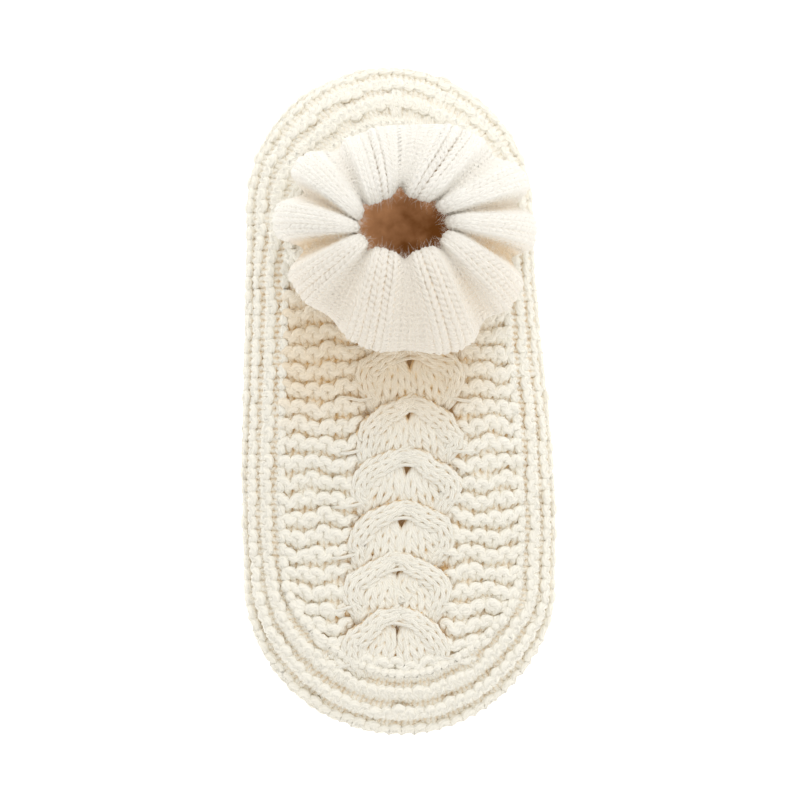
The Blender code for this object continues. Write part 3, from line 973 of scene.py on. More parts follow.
@dataclass(frozen=True)
class Cable:
    """A horseshoe cable: arches of two strands over the wales that rise between them.

    The rows of strand, inner, bridge and bar are ways, in millimetres from an arch's top.
    """

    foot: FootForm
    first_top: float = 0.0486
    period: float = 0.0197
    arches: int = 7
    strand: Rows = (
        (-12.4, -26.8, -2.0, 5.8),
        (-13.8, -23.0, -1.0, 6.4),
        (-15.6, -19.2, -0.2, 7.2),
        (-16.3, -15.4, 0.5, 7.8),
        (-15.0, -12.0, 1.1, 8.0),
        (-12.3, -9.5, 1.5, 7.8),
        (-8.8, -7.2, 1.7, 7.2),
        (-5.0, -4.9, 1.6, 6.4),
        (-1.2, -2.9, 1.1, 5.0),
        (1.8, -1.9, 0.3, 3.4),
    )
    inner: Rows = (
        (-8.4, -26.5, -1.9, 17.2),
        (-8.1, -21.0, -0.9, 16.8),
        (-7.4, -16.0, -0.1, 15.4),
        (-6.2, -12.4, 0.2, 13.0),
        (-6.2, -9.6, 0.0, 9.8),
        (-7.2, -6.0, -1.0, 6.4),
    )
    bridge: Rows = (
        (-8.6, -5.0, 0.6, 1.0),
        (-4.4, -2.5, 1.8, 1.0),
        (0.0, -1.6, 1.9, 1.0),
        (4.4, -2.5, 1.8, 1.0),
        (8.6, -5.0, 0.6, 1.0),
    )
    bar: Rows = (
        (-13.0, -19.8, -0.6, 1.0),
        (-18.0, -21.2, 0.7, 1.0),
        (-22.5, -21.8, 0.5, 1.0),
        (-27.0, -22.0, -1.6, 1.0),
    )
    # Their low values set how much painted shade the strands and the inner wales get.
    strand_tape: Tape = Tape(2, low=0.0001)
    inner_tape: Tape = Tape(3, pitch=0.0043, roll=0.0004, yarn=0.0013, low=0.0003)
    crossing: float = 0.5
    uneven: float = 0.45
    lean: Tuple[float, float] = (-0.0027, 0.0038)
    bridge_steps: Tuple[float, ...] = (0.0, 0.0011, 0.0046)
    bar_steps: Tuple[float, float] = (-0.0014, 0.0022)
    slope: float = 0.05
    slant: float = 0.06
    wave: float = 0.0005
    thin: float = 0.00072
    seed: int = 8

    def knit(self, skein: Skein) -> None:
        """Adds every arch to a skein."""
        rng = np.random.default_rng(self.seed)
        for arch in range(self.arches):
            top = self.first_top + self.period * arch
            for side, slope in zip((1.0, -1.0), rng.normal(0.0, self.slope, 2)):
                spot = self._spot(top, side)
                seed = 300 + arch * 10 + int(side)
                over = self.crossing if side * (-1) ** arch > 0 else 0.0
                inner = self._leaning(self.inner, 0.0, 0.0, rng)
                strand = self._leaning(self.strand, over, slope, rng)
                self.inner_tape.knit(skein, self.foot, inner, spot, seed + 3)
                self.strand_tape.knit(skein, self.foot, strand, spot, seed)
                step = rng.uniform(*self.bar_steps)
                self._yarn(skein, self.bar, self._spot(top + step, side), rng)
            for step in self.bridge_steps:
                self._yarn(skein, self.bridge, self._spot(top - step, 1.0), rng)

    def _leaning(self, rows: Rows, rise: float, slope: float, rng: np.random.Generator) -> Way:
        """Makes an uneven way.

        Args:
            rows: the even one.
            rise: lifts it.
            slope: how much further back its outer part lies.
            rng: picks the unevenness.

        Returns:
            The way.
        """
        stray = rng.normal(0.0, self.uneven, (len(rows), 2))
        pairs = zip(rows, stray)
        return Way([(x + a, y - slope * x + b, z + rise, w) for (x, y, z, w), (a, b) in pairs])

    def aside(self, y: Number) -> Number:
        """How far across from the foot's centre line the cable's middle lies."""
        return mix(*self.lean, ramp(y + self.foot.length / 2, 0.045, 0.090))

    def _spot(self, top: float, side: float) -> Spot:
        """The plan place of an arch's across and along, on its left or right side."""

        def spot(across: Array, along: Array) -> Pair:
            """A plan x and y."""
            y = -self.foot.length / 2 + top + along
            return self.foot.centre_x(y) + self.aside(y) + across * side, y

        return spot

    def _yarn(self, skein: Skein, rows: Rows, spot: Spot, rng: np.random.Generator) -> None:
        """Adds a bare yarn along a way, a little slanted and waved.

        Args:
            skein: takes the yarn.
            rows: the way's.
            spot: turns its across and along into plan x and y.
            rng: picks the slant and the wave.
        """
        way = Way(rows)
        across, along, lift = way.at(np.linspace(0.0, way.length, 14))[:3]
        slant = rng.normal(0.0, self.slant) * (across - across.mean())
        wave = self.wave * smooth_noise(len(along), 5, int(rng.integers(1e6)))
        along = along + slant + wave
        skein.add(self.foot.place(*spot(across, along), lift), self.thin, 0.0002, False, 0.5)


@dataclass(frozen=True)
class BackSeam:
    """The short upright seam over the heel's ridges."""

    foot: FootForm
    across: float = -0.0010
    way: Rows = (
        (0.0, 0.0, -1.6, 3.6),
        (0.2, 4.0, -0.7, 3.6),
        (-0.2, 8.0, -0.6, 3.6),
        (0.0, 12.0, -1.4, 3.4),
    )
    from_end: float = 0.0090
    tape: Tape = Tape(1, pitch=0.0034, roll=0.0004, yarn=0.0011)

    def knit(self, skein: Skein) -> None:
        """Adds the seam to a skein."""

        def spot(across: Array, along: Array) -> Pair:
            """A plan x and y."""
            return self.across + across, self.foot.length / 2 - self.from_end - along

        self.tape.knit(skein, self.foot, Way(self.way), spot, 61)


@dataclass(frozen=True)
class SoleKnit:
    """Garter courses across the underside."""

    foot: FootForm
    stitch: float = 0.0060
    course: float = 0.0037
    inset: float = 0.0085
    yarn: float = 0.00135
    middle_z: float = 0.0024
    loop: Loop = Loop(samples=8, depth=0.0010)
    seed: int = 41

    def knit(self, skein: Skein) -> None:
        """Adds the courses to a skein."""
        rng = np.random.default_rng(self.seed)
        reach = self.foot.length / 2 - self.inset
        for row in range(int(2 * reach / self.course)):
            y_row = -reach + self.course * (row + 0.5)
            middle = np.clip(y_row, self.foot.toe_y, self.foot.heel_y)
            radius = self.foot.half_width(middle) - self.inset
            half = math.sqrt(max(radius**2 - (y_row - middle) ** 2, 0.0))
            count = int(2 * half / self.stitch)
            if count < 2:
                continue
            kind = np.full(count, 1 if row % 2 == 0 else -1)
            index = np.arange(count)[:, None]
            x = self.foot.centre_x(y_row) + self.stitch * (index - count / 2 + self.loop.side())
            y = y_row + self.course * (self.loop.rise() + 0 * index)
            height = self.loop.lift(kind, -kind)
            z = self.middle_z + self.foot.toe_lift(y) - height
            points = np.stack([x.ravel(), y.ravel(), z.ravel()], 1)
            down = np.tile([[0.0, 0.0, -1.0]], (len(points), 1))
            tone = float(rng.uniform(-1, 1))
            skein.add((points, down), self.yarn, height.ravel(), False, tone)


@dataclass(frozen=True)
class Rib:
    """One rib of the cuff and the panel after it; angles in degrees, the rest in shares."""

    reach_deg: float
    mouth_deg: float
    reach: float
    fold_out: float
    fold_in: float


@dataclass(frozen=True)
class Flow:
    """One row of the cuff's section, as its solid has it."""

    at: float
    rise: float
    sink: float = 0.0
    spread: float = 0.0


@dataclass(frozen=True)
class CuffForm:
    """The gathered cuff's outer surface."""

    foot: FootForm
    mouth_x: float = -0.0010
    mouth_from_heel: float = 0.0627
    mouth_half_width: float = 0.0196
    mouth_half_length: float = 0.0136
    reach: float = 0.0460
    top: float = 0.0850
    clearance: float = 0.0012 + 0.0032
    rib_share: float = 0.50
    mouth_share: float = 0.74
    rib_round: float = 0.45
    rib_raise: float = 0.0022
    droop: float = 0.6
    fold_depth: float = 0.0080
    ribs: Tuple[Rib, ...] = (
        Rib(210, 208, 0.89, 0.14, 0.10),
        Rib(253, 246, 0.92, 0.06, 0.00),
        Rib(296, 297, 1.01, 0.26, 0.08),
        Rib(330, 336, 1.02, 0.74, 0.05),
        Rib(360, 365, 1.05, 0.66, 0.05),
        Rib(383, 392, 1.05, 0.24, 0.06),
        Rib(412, 423, 0.89, 0.06, 0.30),
        Rib(475, 482, 0.74, 0.30, 0.10),
        Rib(506, 518, 0.91, 0.78, 0.05),
        Rib(535, 542, 0.94, 0.86, 0.05),
    )
    under: Tuple[Flow, ...] = (
        Flow(0.42, 0.02),
        Flow(0.65, 0.03),
        Flow(0.84, 0.06),
        Flow(0.95, 0.14),
    )
    over: Tuple[Flow, ...] = (
        Flow(0.00, 0.28),
        Flow(0.03, 0.47, 0.10),
        Flow(0.13, 0.64, 0.45),
        Flow(0.30, 0.79, 0.80),
        Flow(0.50, 0.90, 1.00),
        Flow(0.68, 0.965, 1.00),
        Flow(0.83, 1.00, 1.00, 0.10),
        Flow(0.95, 0.985, 0.95, 0.25),
        Flow(1.02, 0.93, 0.90, 0.55),
        Flow(1.04, 0.84, 0.85, 0.70),
        Flow(1.03, 0.70, 0.60, 0.70),
    )

    def values(self, name: str) -> Array:
        """One field of every rib."""
        return np.array([getattr(rib, name) for rib in self.ribs], float)

    def column(self, name: str, place: Array) -> Array:
        """A field of the ribs, read between them.

        Args:
            name: the field's.
            place: where, counted in ribs.

        Returns:
            Its values.
        """
        values, count = self.values(name), len(self.ribs)
        low = np.floor(place).astype(int)
        turn = 360.0 if name.endswith("deg") else 0.0
        here, there = (values[at % count] + turn * (at // count) for at in (low, low + 1))
        return mix(here, there, place - low)

    def surface(self, columns: int = 720, rows: int = 90) -> Tuple[GridSurface, Array]:
        """The outer face from under the edge over the top and into the mouth.

        Args:
            columns: points round the cuff.
            rows: points from under the edge into the mouth.

        Returns:
            The face, and the share that ribs take of the round at each of its rows.
        """
        foot = self.foot
        place = np.arange(columns) / columns * len(self.ribs)
        out, inner = (np.radians(self.column(name, place)) for name in ("reach_deg", "mouth_deg"))
        owner = np.floor(place + 0.5 * self.rib_share).astype(int) % len(self.ribs)
        fold_out, fold_in = self.values("fold_out")[owner], self.values("fold_in")[owner]
        sink, raised = self._profile(place, self.rib_share)
        away = np.stack([np.cos(out), np.sin(out)], 1)
        middle = np.array([self.mouth_x, foot.length / 2 - self.mouth_from_heel])
        reach = self.reach * self.column("reach", place) + raised
        edge = middle + away * (reach - self.fold_depth * fold_out * sink)[:, None]
        half = np.array([self.mouth_half_width, self.mouth_half_length])
        mouth = middle + np.stack([np.cos(inner), np.sin(inner)], 1) * half
        off = (edge - (foot.neck_x, foot.neck_y)) / (foot.neck_half_width, foot.neck_half_length)
        seam = foot.neck(np.arctan2(off[:, 0], off[:, 1]))
        lines = []
        for row in self.under:
            spot = mix(seam, edge, row.at)
            low = foot.height(spot[:, 0], spot[:, 1]) + self.clearance
            height = mix(low, self.top, row.rise)
            lines.append(np.column_stack([spot, height, np.full(columns, self.rib_share)]))
        low = foot.height(edge[:, 0], edge[:, 1]) + self.clearance
        for row in self.over:
            inward = min(row.at, 1.0)
            share = mix(self.rib_share, self.mouth_share, inward**1.5)
            sink, raised = self._profile(place, share)
            raised = raised * (1.0 + self.droop * inward**3)
            drop = self.fold_depth * mix(fold_out, fold_in, inward) * sink - raised
            spot = mix(edge, mouth, row.at) + away * (drop * row.spread)[:, None]
            height = mix(low, self.top, row.rise) - drop * row.sink
            lines.append(np.column_stack([spot, height, np.full(columns, share)]))
        points = even_rows(curved(np.stack(lines, 1)), rows)
        return GridSurface(points[..., :3], True), points[..., 3].mean(0)

    def _profile(self, place: Array, rib_share: float) -> Pair:
        """The ribbing's section.

        Args:
            place: where, counted in ribs.
            rib_share: how much of the round ribs take.

        Returns:
            How far panels sink (0 to 1) and ribs are raised.
        """
        share = np.abs((place + 0.5) % 1.0 - 0.5)
        away = share / (rib_share / 2)
        within = np.clip((share - rib_share / 2) / (1 - rib_share) * 2, 0.0, 1.0)
        sink = np.where(away < 1.0, 0.0, np.sin(math.pi / 2 * within))
        crown = 1.0 - self.rib_round * np.minimum(away, 1.0) ** 2
        return sink, self.rib_raise * crown * (1.0 - sink)


@dataclass(frozen=True)
class CuffKnit:
    """Three-stitch ribs between purl panels, in a finer gauge."""

    form: CuffForm
    courses: int = 28
    rib_count: int = 3
    purl_count: int = 5
    yarn: float = 0.00144
    thinner: float = 0.68
    mid: float = -0.0006
    crown: float = 0.00050
    flat: float = 0.40
    # Painted shade in the purl panels' folds, given as a height that only tints the colour.
    fold_shade_depth: float = 0.0026
    loop: Loop = Loop(samples=10, depth=0.00042, tall=0.95, bow=0.25)
    sway: float = 0.04
    stray: float = 0.05
    uneven: float = 0.05
    seed: int = 77
    noise_seed: int = 500

    def knit(self, skeins: Sequence[Skein]) -> None:
        """Adds the courses to the skeins, shared out among them."""
        surface, rib_shares = self.form.surface()
        loop, wide = self.loop, self.rib_count
        repeat, ribs = wide + self.purl_count, len(self.form.ribs)
        stitches = repeat * ribs
        kind = np.tile([1] * wide + [-1] * self.purl_count, ribs)
        calm = np.where(kind > 0, 1.0, self.flat)[:, None]
        folds = self.form.values("fold_out")
        rng = np.random.default_rng(self.seed)
        levels = np.linspace(0.0, 1.0, len(rib_shares))
        for row in range(self.courses):
            u = np.arange(stitches)[:, None] + loop.side() + loop.humps(rng, stitches, self.sway)
            v = (row + 0.5 + loop.rise() + loop.humps(rng, stitches, self.stray)) / self.courses
            share = np.interp(v, levels, rib_shares)
            whole = np.floor(u / repeat)
            within = u - whole * repeat
            in_rib = within < wide
            panel = (within - wide) / self.purl_count
            rib_place = -share / 2 + share * within / wide
            place = np.where(in_rib, rib_place, share / 2 + (1 - share) * panel)
            # Painted shade in the purl panels between ribs, most in the folds that fold furthest,
            # fading towards the mouth.
            panel_shade = np.sin(math.pi * np.where(in_rib, 0.0, panel)) * folds[whole.astype(int) % ribs]
            panel_shade = self.fold_shade_depth * panel_shade * (1.0 - ramp(v, 0.62, 0.30))
            crown = np.where(in_rib, self.crown * (np.sin(math.pi * within) ** 2 - 0.5), 0.0)
            height = loop.lift(kind, kind) * calm + crown
            turn = (whole + place) / ribs
            placed = surface.place(turn.ravel(), v.ravel(), self.mid + height.ravel())
            gauge = self.yarn * mix(1.0, self.thinner, ramp(v.ravel(), 0.3, 0.5))
            noise = smooth_noise(height.size, 7, self.noise_seed + row, True)
            radius = gauge * (1.0 + self.uneven * noise)
            skein = skeins[row * len(skeins) // self.courses]
            # Only the height handed to the skein is lowered, which paints the fold shade; the
            # yarn's place stays.
            skein.add(placed, radius, (height - panel_shade).ravel(), True, float(rng.uniform(-1, 1)))


@dataclass(frozen=True)
class Shell:
    """A smooth lining with two faces under a knitted surface."""

    name: str
    slot: Slot
    outer: float
    inner: float

    def build(self, surface: GridSurface, shift: float) -> bpy.types.Object:
        """Makes the lining: its outer face takes the first material, its inner the second.

        Args:
            surface: what it follows.
            shift: moves it across, onto the frame.

        Returns:
            The lining's object.
        """
        points, normals = surface.points, surface.normals
        rows, columns = points.shape[:2]
        outer, inner = (points + normals * lift for lift in (self.outer, self.inner))
        ring = np.concatenate([outer, inner[:, ::-1]], axis=1)
        verts = ring.reshape(-1, 3).copy()
        verts[:, 0] += shift
        quads = ring_quads(rows, ring.shape[1], surface.closed)[:, [0, 3, 2, 1]]
        item = mesh_object(self.name, verts, quads)
        inside = (quads[:, 0] % ring.shape[1] >= columns).astype(np.int32)
        item.data.materials.append(None)
        item.data.materials.append(None)
        item.data.polygons.foreach_set("material_index", inside)
        bpy.ops.object.select_all(action="DESELECT")
        item.select_set(True)
        bpy.context.view_layer.objects.active = item
        bpy.ops.object.mode_set(mode="EDIT")
        bpy.ops.mesh.select_all(action="SELECT")
        bpy.ops.mesh.remove_doubles(threshold=0.00005)
        bpy.ops.mesh.fill_holes(sides=0)
        bpy.ops.mesh.normals_make_consistent(inside=False)
        bpy.ops.object.mode_set(mode="OBJECT")
        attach(item, "root")
        return item


@dataclass(frozen=True)
class Fuzz:
    """Loose fibres that stand off the yarn."""

    count: int = 22000
    shortest: float = 0.0012
    longest: float = 0.0040
    width: float = 0.00006
    floor_z: float = 0.0003
    rooted: float = 0.85
    curl: float = 0.45
    seed: int = 99

    def build(self, skeins: Sequence[Skein], shift: float) -> bpy.types.Object:
        """Makes the fibres as thin ribbons.

        Args:
            skeins: the yarn that they are rooted in.
            shift: moves them across, onto the frame.

        Returns:
            The fibres' object.
        """
        rng = np.random.default_rng(self.seed)
        strands = [strand for skein in skeins for strand in skein.strands]
        points, normals, radius = (
            np.concatenate([getattr(strand, name) for strand in strands])
            for name in ("points", "normals", "radius")
        )
        pick = rng.integers(0, len(points), self.count)
        lean = unit(rng.normal(0.0, 1.0, (self.count, 3)))
        out = unit(normals[pick] * 0.9 + lean * 0.8)
        root = points[pick] + out * radius[pick][:, None] * self.rooted
        size = rng.uniform(self.shortest, self.longest, self.count)[:, None]
        curl = unit(rng.normal(0.0, 1.0, (self.count, 3)))
        beside = unit(np.cross(out, curl)) * self.width / 2
        rings = []
        for share, thin in ((0.0, 1.0), (0.4, 0.8), (0.75, 0.6), (1.0, 0.25)):
            spot = root + out * size * share + curl * size * self.curl * share**2
            rings.append(np.stack([spot - beside * thin, spot + beside * thin], 1))
        verts = np.stack(rings, 1).reshape(-1, 3)
        verts[:, 0] += shift
        verts[:, 2] = np.maximum(verts[:, 2], self.floor_z)
        base = (np.arange(self.count) * 8)[:, None, None]
        step = (np.arange(3) * 2)[None, :, None]
        quads = (base + step + np.array([0, 1, 3, 2])).reshape(-1, 4)
        item = mesh_object("fuzz", verts, quads)
        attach(item, "root")
        return item


class NodeKit:
    """Short words for building node trees."""

    def __init__(self, tree: bpy.types.NodeTree) -> None:
        """Takes the tree that nodes are added to."""
        self.tree = tree

    def put(self, node: bpy.types.Node, name: Union[str, int], value: Any) -> None:
        """Sets an input to a value, or links it from a socket.

        Args:
            node: whose input it is.
            name: the socket's name or number.
            value: a number, a colour or an output socket.
        """
        socket = node.inputs[name]
        if isinstance(value, bpy.types.NodeSocket):
            self.tree.links.new(value, socket)
        elif socket.type == "RGBA":
            socket.default_value = (*value, 1.0)
        else:
            socket.default_value = value

    def fill(self, node: bpy.types.Node, **inputs: Any) -> bpy.types.Node:
        """Sets or links inputs by socket name, with an underscore for each space."""
        for name, value in inputs.items():
            self.put(node, name.replace("_", " "), value)
        return node

    def add(self, kind: str, **inputs: Any) -> bpy.types.Node:
        """Adds a node and sets or links its inputs."""
        return self.fill(self.tree.nodes.new(kind), **inputs)

    def attribute(self, name: str) -> bpy.types.NodeSocket:
        """A mesh attribute's value."""
        node = self.add("ShaderNodeAttribute")
        node.attribute_name = name
        return node.outputs["Fac"]

    def place(self) -> bpy.types.NodeSocket:
        """The place on the object."""
        return self.add("ShaderNodeTexCoord").outputs["Object"]

    def noise(self, place: Any, scale: float, detail: float) -> bpy.types.NodeSocket:
        """A noise's value at a place."""
        node = self.add("ShaderNodeTexNoise", Vector=place, Scale=scale, Detail=detail)
        return node.outputs["Fac"]

    def blend(self, share: Any, first: Any, second: Any) -> bpy.types.NodeSocket:
        """A colour between two.

        Args:
            share: from 0 for the first to 1 for the second.
            first: a colour or a socket.
            second: the same.

        Returns:
            The colour's socket.
        """
        node = self.add("ShaderNodeMix")
        node.data_type = "RGBA"
        node.clamp_factor = True
        for number, value in ((0, share), (6, first), (7, second)):
            self.put(node, number, value)
        return node.outputs[2]

    def maths(self, operation: str, *values: Any) -> bpy.types.NodeSocket:
        """A maths node's result.

        Args:
            operation: what it does.
            values: numbers or sockets.

        Returns:
            The result's socket.
        """
        node = self.add("ShaderNodeMath")
        node.operation = operation
        for number, value in enumerate(values):
            self.put(node, number, value)
        return node.outputs[0]


def new_material(name: str) -> Tuple[bpy.types.Material, NodeKit, bpy.types.Node]:
    material = bpy.data.materials.new(name)
    material.use_nodes = True
    kit = NodeKit(material.node_tree)
    return material, kit, kit.tree.nodes["Principled BSDF"]


@dataclass(frozen=True)
class YarnRelief:
    """Shared node group: the twist and the fibres of yarn, as a height and a tone."""

    name: str = "Yarn relief"
    inputs: Tuple[Tuple[str, float], ...] = (
        ("Ply", 3.0),
        ("Twist", 0.22),
        ("Twist depth", 0.5),
        ("Fibre", 0.6),
    )

    def build(self) -> bpy.types.NodeTree:
        """Makes the group."""
        tree = bpy.data.node_groups.new(self.name, "ShaderNodeTree")
        for name, value in self.inputs:
            socket = tree.interface.new_socket(name, in_out="INPUT", socket_type="NodeSocketFloat")
            socket.default_value = value
        for name in ("Height", "Tone"):
            tree.interface.new_socket(name, in_out="OUTPUT", socket_type="NodeSocketFloat")
        kit = NodeKit(tree)
        given = kit.add("NodeGroupInput").outputs
        uv = kit.add("ShaderNodeUVMap")
        uv.uv_map = "yarn"
        parts = kit.add("ShaderNodeSeparateXYZ", Vector=uv.outputs["UV"]).outputs
        along, around = parts["X"], parts["Y"]
        twist = kit.maths("MULTIPLY", along, given["Twist"])
        turn = kit.maths("MULTIPLY_ADD", around, given["Ply"], twist)
        ply = kit.maths("ABSOLUTE", kit.maths("SINE", kit.maths("MULTIPLY", turn, TAU)))
        angle = kit.maths("MULTIPLY", around, TAU)
        stretch = kit.add(
            "ShaderNodeCombineXYZ",
            X=kit.maths("MULTIPLY", kit.maths("MULTIPLY_ADD", around, 4.0, along), 0.7),
            Y=kit.maths("MULTIPLY", kit.maths("SINE", angle), 2.4),
            Z=kit.maths("MULTIPLY", kit.maths("COSINE", angle), 2.4),
        )
        fibre = kit.noise(stretch.outputs[0], 1.6, 4.0)
        hair = kit.maths("MULTIPLY", fibre, given["Fibre"])
        height = kit.maths("MULTIPLY_ADD", ply, given["Twist depth"], hair)
        kit.add("NodeGroupOutput", Height=height, Tone=fibre)
        return tree


@dataclass(frozen=True)
class WoolFinish:
    """Wool yarn: matt, softly bright at its edges, with painted tan shade where it lies low and
    painted emission in place of light let through.
    """

    name: str
    colour: Colour
    shade: Colour
    relief: float
    # Colour of the painted shade and of the painted emission; how strongly that emission grows
    # with the shade, and how much all the wool has.
    painted_shade: Colour = (0.61, 0.42, 0.20)
    painted_glow: float = 0.16
    through: float = 0.03
    sheen: float = 0.25
    # Noise that makes the painted shade patchy: its scale and how uneven.
    patch: float = 170.0
    uneven: float = 4.0

    def build(self, group: bpy.types.NodeTree) -> bpy.types.Material:
        """Makes the material.

        Args:
            group: the shared yarn relief.

        Returns:
            The material.
        """
        material, kit, shader = new_material(self.name)
        relief = kit.add("ShaderNodeGroup")
        relief.node_tree = group
        drift = kit.maths("MULTIPLY_ADD", kit.attribute("tone"), -0.12, 0.70)
        share = kit.maths("MULTIPLY_ADD", relief.outputs["Tone"], -0.75, drift)
        top = kit.blend(share, self.colour, self.shade)
        # Painted shade made patchy by noise, most where it is strongest.
        patch = kit.noise(kit.place(), self.patch, 1.0)
        extra = kit.maths("MULTIPLY_ADD", patch, self.uneven, 0.04 - self.uneven / 2)
        painted_shade = kit.attribute("painted_shade")
        strong = kit.maths("POWER", painted_shade, 3.0)
        painted_shade = kit.maths("MULTIPLY_ADD", kit.maths("MAXIMUM", extra, -0.75), strong, painted_shade)
        bump = kit.add("ShaderNodeBump", Height=relief.outputs["Height"], Distance=self.relief)
        bump.inputs["Strength"].default_value = 0.8
        # Painted shade tints the colour tan, and painted emission of the same tan lifts it, most
        # in the shade.
        kit.fill(
            shader,
            Base_Color=kit.blend(painted_shade, top, self.painted_shade),
            Emission_Color=self.painted_shade,
            Emission_Strength=kit.maths("MULTIPLY_ADD", painted_shade, self.painted_glow, self.through),
            Normal=bump.outputs["Normal"],
            Roughness=0.92,
            Specular_IOR_Level=0.12,
            Sheen_Weight=self.sheen,
            Sheen_Roughness=0.5,
            Sheen_Tint=(1.0, 0.97, 0.90),
        )
        return material


@dataclass(frozen=True)
class PlainFinish:
    """A plain matt cloth with a fine grain, which may carry painted emission in place of the light
    it lets through.
    """

    name: str
    colour: Colour
    grain: float = 900.0
    relief: float = 0.0002
    painted_glow: float = 0.0

    def build(self) -> bpy.types.Material:
        """Makes the material."""
        material, kit, shader = new_material(self.name)
        grain = kit.noise(kit.place(), self.grain, 3.0)
        bump = kit.add("ShaderNodeBump", Height=grain, Distance=self.relief)
        kit.fill(
            shader,
            Normal=bump.outputs["Normal"],
            Base_Color=self.colour,
            Roughness=0.95,
            Specular_IOR_Level=0.1,
            # Painted light: emission of its own colour.
            Emission_Color=self.colour,
            Emission_Strength=self.painted_glow,
        )
        return material


@dataclass(frozen=True)
class InsideShadeFinish:
    """Painted shade seen through the mouth: brown, lighter towards one side where painted light
    falls, lit by its own emission.
    """

    name: str
    # Painted shade and painted light: from dark brown to lighter brown towards the left and the
    # heel.
    dark: Colour = (0.105, 0.038, 0.008)
    light: Colour = (0.37, 0.195, 0.095)
    middle: Tuple[float, float] = (-0.004, 0.067)
    reach: float = 0.038
    painted_glow: float = 0.85
    grain: float = 140.0
    mottle: float = 1.3
    darker: float = 0.15

    def build(self) -> bpy.types.Material:
        """Makes the material."""
        material, kit, shader = new_material(self.name)
        place = kit.place()
        parts = kit.add("ShaderNodeSeparateXYZ", Vector=place).outputs
        left = kit.maths("SUBTRACT", self.middle[0], parts["X"])
        back = kit.maths("SUBTRACT", parts["Y"], self.middle[1])
        lean = kit.maths("DIVIDE", kit.maths("ADD", left, back), self.reach)
        grain = kit.noise(place, self.grain, 3.0)
        share = kit.maths("MULTIPLY_ADD", grain, self.mottle, lean)
        share = kit.maths("SUBTRACT", share, self.darker)
        colour = kit.blend(share, self.dark, self.light)
        # Painted light: emission of the same colour.
        kit.fill(shader, Base_Color=colour, Emission_Color=colour, Roughness=0.95)
        kit.fill(shader, Emission_Strength=self.painted_glow)
        return material


@dataclass(frozen=True)
class Studio:
    """White floor, soft light and the camera above."""

    camera: Tuple[float, float, float] = (-0.0755, -0.0038, 1.20)
    view_width: float = 0.3012
    sensor: float = 36.0
    aim: Tuple[float, float, float] = (0.0, 0.0, 0.020)
    world_colour: Colour = (1.0, 0.985, 0.96)
    world_strength: float = 0.91
    key: float = 4.9
    fill: float = 1.0
    light_size: float = 0.8
    key_place: Tuple[float, float, float] = (0.05, 0.95, 0.95)
    fill_place: Tuple[float, float, float] = (0.55, -0.35, 0.80)

    def build(self) -> None:
        """Makes the floor, lights and camera."""
        scene = bpy.context.scene
        scene.view_settings.view_transform = "Standard"
        scene.view_settings.look = "None"
        world = bpy.data.worlds.new("studio")
        scene.world = world
        world.use_nodes = True
        back = world.node_tree.nodes["Background"]
        kit = NodeKit(world.node_tree)
        kit.fill(back, Color=self.world_colour, Strength=self.world_strength)
        self._floor()
        self._light("key", self.key_place, self.key)
        self._light("fill", self.fill_place, self.fill)
        self._camera(scene)

    def _floor(self) -> None:
        """A white floor that stays white."""
        bpy.ops.mesh.primitive_plane_add(size=6.0, location=(0.0, 0.0, 0.0))
        floor = bpy.context.active_object
        floor.name = "floor"
        material, kit, shader = new_material("floor_white")
        kit.fill(shader, Base_Color=(0.9, 0.9, 0.9), Roughness=1.0)
        kit.fill(shader, Emission_Color=(1.0, 1.0, 1.0), Emission_Strength=0.75)
        floor.data.materials.append(material)

    def _light(self, name: str, place: Tuple[float, float, float], power: float) -> None:
        """A soft square light aimed at the slipper.

        Args:
            name: the light's.
            place: where it hangs.
            power: in watts.
        """
        bpy.ops.object.light_add(type="AREA", location=place)
        light = bpy.context.active_object
        light.name = name
        light.data.size = self.light_size
        light.data.energy = power
        self._point(light)

    def _camera(self, scene: bpy.types.Scene) -> None:
        """The camera above, where the photograph's stood."""
        bpy.ops.object.camera_add(location=self.camera)
        camera = bpy.context.active_object
        camera.data.sensor_width = self.sensor
        reach = math.dist(camera.location, self.aim)
        camera.data.lens = self.sensor * reach / self.view_width
        camera.data.clip_start = 0.05
        camera.data.clip_end = 20.0
        self._point(camera)
        scene.camera = camera

    def _point(self, item: bpy.types.Object) -> None:
        """Points an object's -Z at the aim, its +Y towards the heel."""
        back = (item.location - Vector(self.aim)).normalized()
        right = Vector((0.0, 1.0, 0.0)).cross(back).normalized()
        turn = Matrix((right, back.cross(right), back)).transposed()
        item.rotation_euler = turn.to_euler()


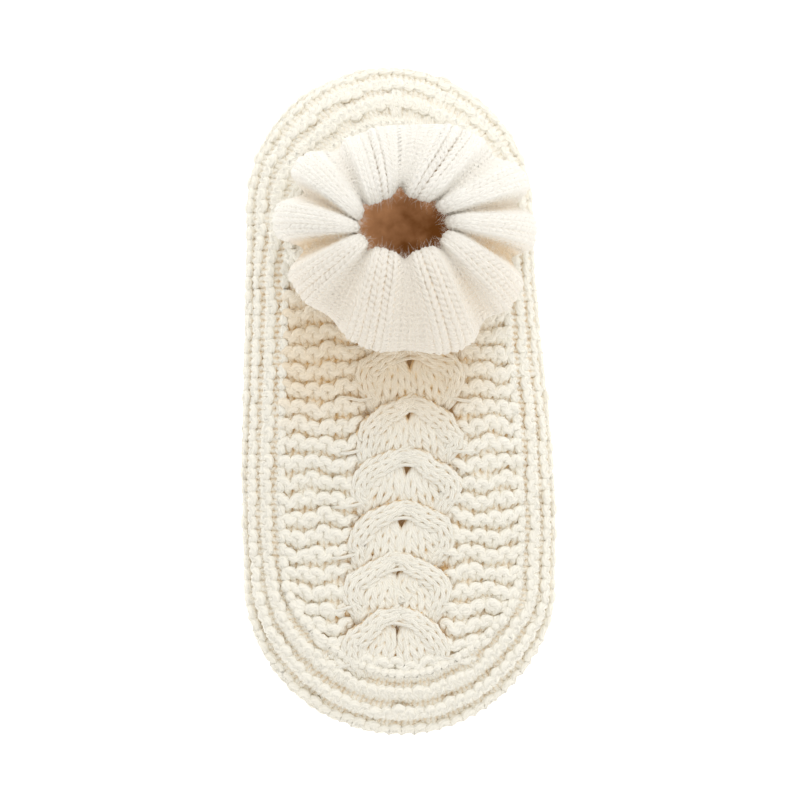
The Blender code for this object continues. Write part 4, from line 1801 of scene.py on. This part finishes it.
class Slipper:
    """The whole slipper: its pieces and their finishes."""

    def __init__(self) -> None:
        """Sets out the forms."""
        self.foot = FootForm()
        self.shift = float(self.foot.shift)
        self.cuff = CuffForm(self.foot)
        self.pieces: Dict[str, bpy.types.Object] = {}

    def build(self) -> None:
        """Makes every piece."""
        rounds = Skein("side_wall", Slot.CHUNKY, 5)
        panel = Skein("instep_garter", Slot.CHUNKY, shade=cuff_cast_shadow)
        cable = Skein("instep_cable", Slot.CHUNKY, shade=cuff_cast_shadow)
        heel = Skein("heel_garter", Slot.CHUNKY)
        sole = Skein("sole_garter", Slot.SOLE, sides=5)
        halves = ("cuff_lower", "cuff_upper")
        cuff = [Skein(name, Slot.RIB, 5, gap_shade_share=0.56, shade=cuff_front_shade) for name in halves]
        wall = SideWall(self.foot)
        arches = Cable(self.foot)
        wall.knit(rounds)
        Instep(self.foot, wall, arches).knit(panel)
        arches.knit(cable)
        AnkleBack(self.foot, wall).knit(heel)
        BackSeam(self.foot).knit(heel)
        SoleKnit(self.foot).knit(sole)
        CuffKnit(self.cuff).knit(cuff)
        for skein in (rounds, panel, cable, heel, sole, *cuff):
            self.pieces[skein.name] = skein.build(self.shift)
        self.pieces["fuzz"] = Fuzz().build([rounds, panel, cable, heel, *cuff], self.shift)
        lining = Shell("foot_lining", Slot.CHUNKY, -0.0033, -0.0046)
        self.pieces["foot_lining"] = lining.build(self.foot.surface(), self.shift)
        lining = Shell("cuff_lining", Slot.RIB, -0.0013, -0.0030)
        self.pieces["cuff_lining"] = lining.build(self.cuff.surface(200, 30)[0], self.shift)
        for name, item in self.pieces.items():
            log.info("%s: %d faces", name, len(item.data.polygons))

    def finish(self) -> None:
        """Gives every piece its material."""
        relief = YarnRelief().build()
        cream = WoolFinish("cream_wool", (0.90, 0.88, 0.805), (0.855, 0.82, 0.72), 0.0005)
        fine = WoolFinish("fine_wool", (0.87, 0.855, 0.81), (0.83, 0.805, 0.75), 0.0003)
        cream, fine = cream.build(relief), fine.build(relief)
        # Painted shade: the linings' outer faces show dark tan through holes between stitches,
        # their inner faces tan inside the mouth, both lifted by painted emission.
        under = PlainFinish("painted_gap_dark", (0.44, 0.29, 0.15), painted_glow=0.16).build()
        inside = PlainFinish("painted_inner_tan", (0.42, 0.25, 0.13), painted_glow=0.30).build()
        mouth_shade = InsideShadeFinish("painted_inner_shadow").build()
        hair = PlainFinish("hair", (0.92, 0.89, 0.83)).build()
        for name, item in self.pieces.items():
            if name.endswith("lining"):
                item.data.materials[0] = under
                item.data.materials[1] = inside
            else:
                plain = hair if name == "fuzz" else cream
                item.data.materials.append(fine if name.startswith("cuff") else plain)
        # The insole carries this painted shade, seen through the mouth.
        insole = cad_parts["insole"]
        insole.data.materials.clear()
        insole.data.materials.append(mouth_shade)
        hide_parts("upper")
        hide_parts("sole")
        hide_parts("cuff")


def main() -> None:
    """Builds the slipper and the studio round it."""
    logging.basicConfig(level=logging.INFO, format="%(name)s: %(message)s")
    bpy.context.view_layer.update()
    bpy.ops.object.select_all(action="DESELECT")
    slipper = Slipper()
    slipper.build()
    slipper.finish()
    Studio().build()


if __name__ == "__main__":
    main()
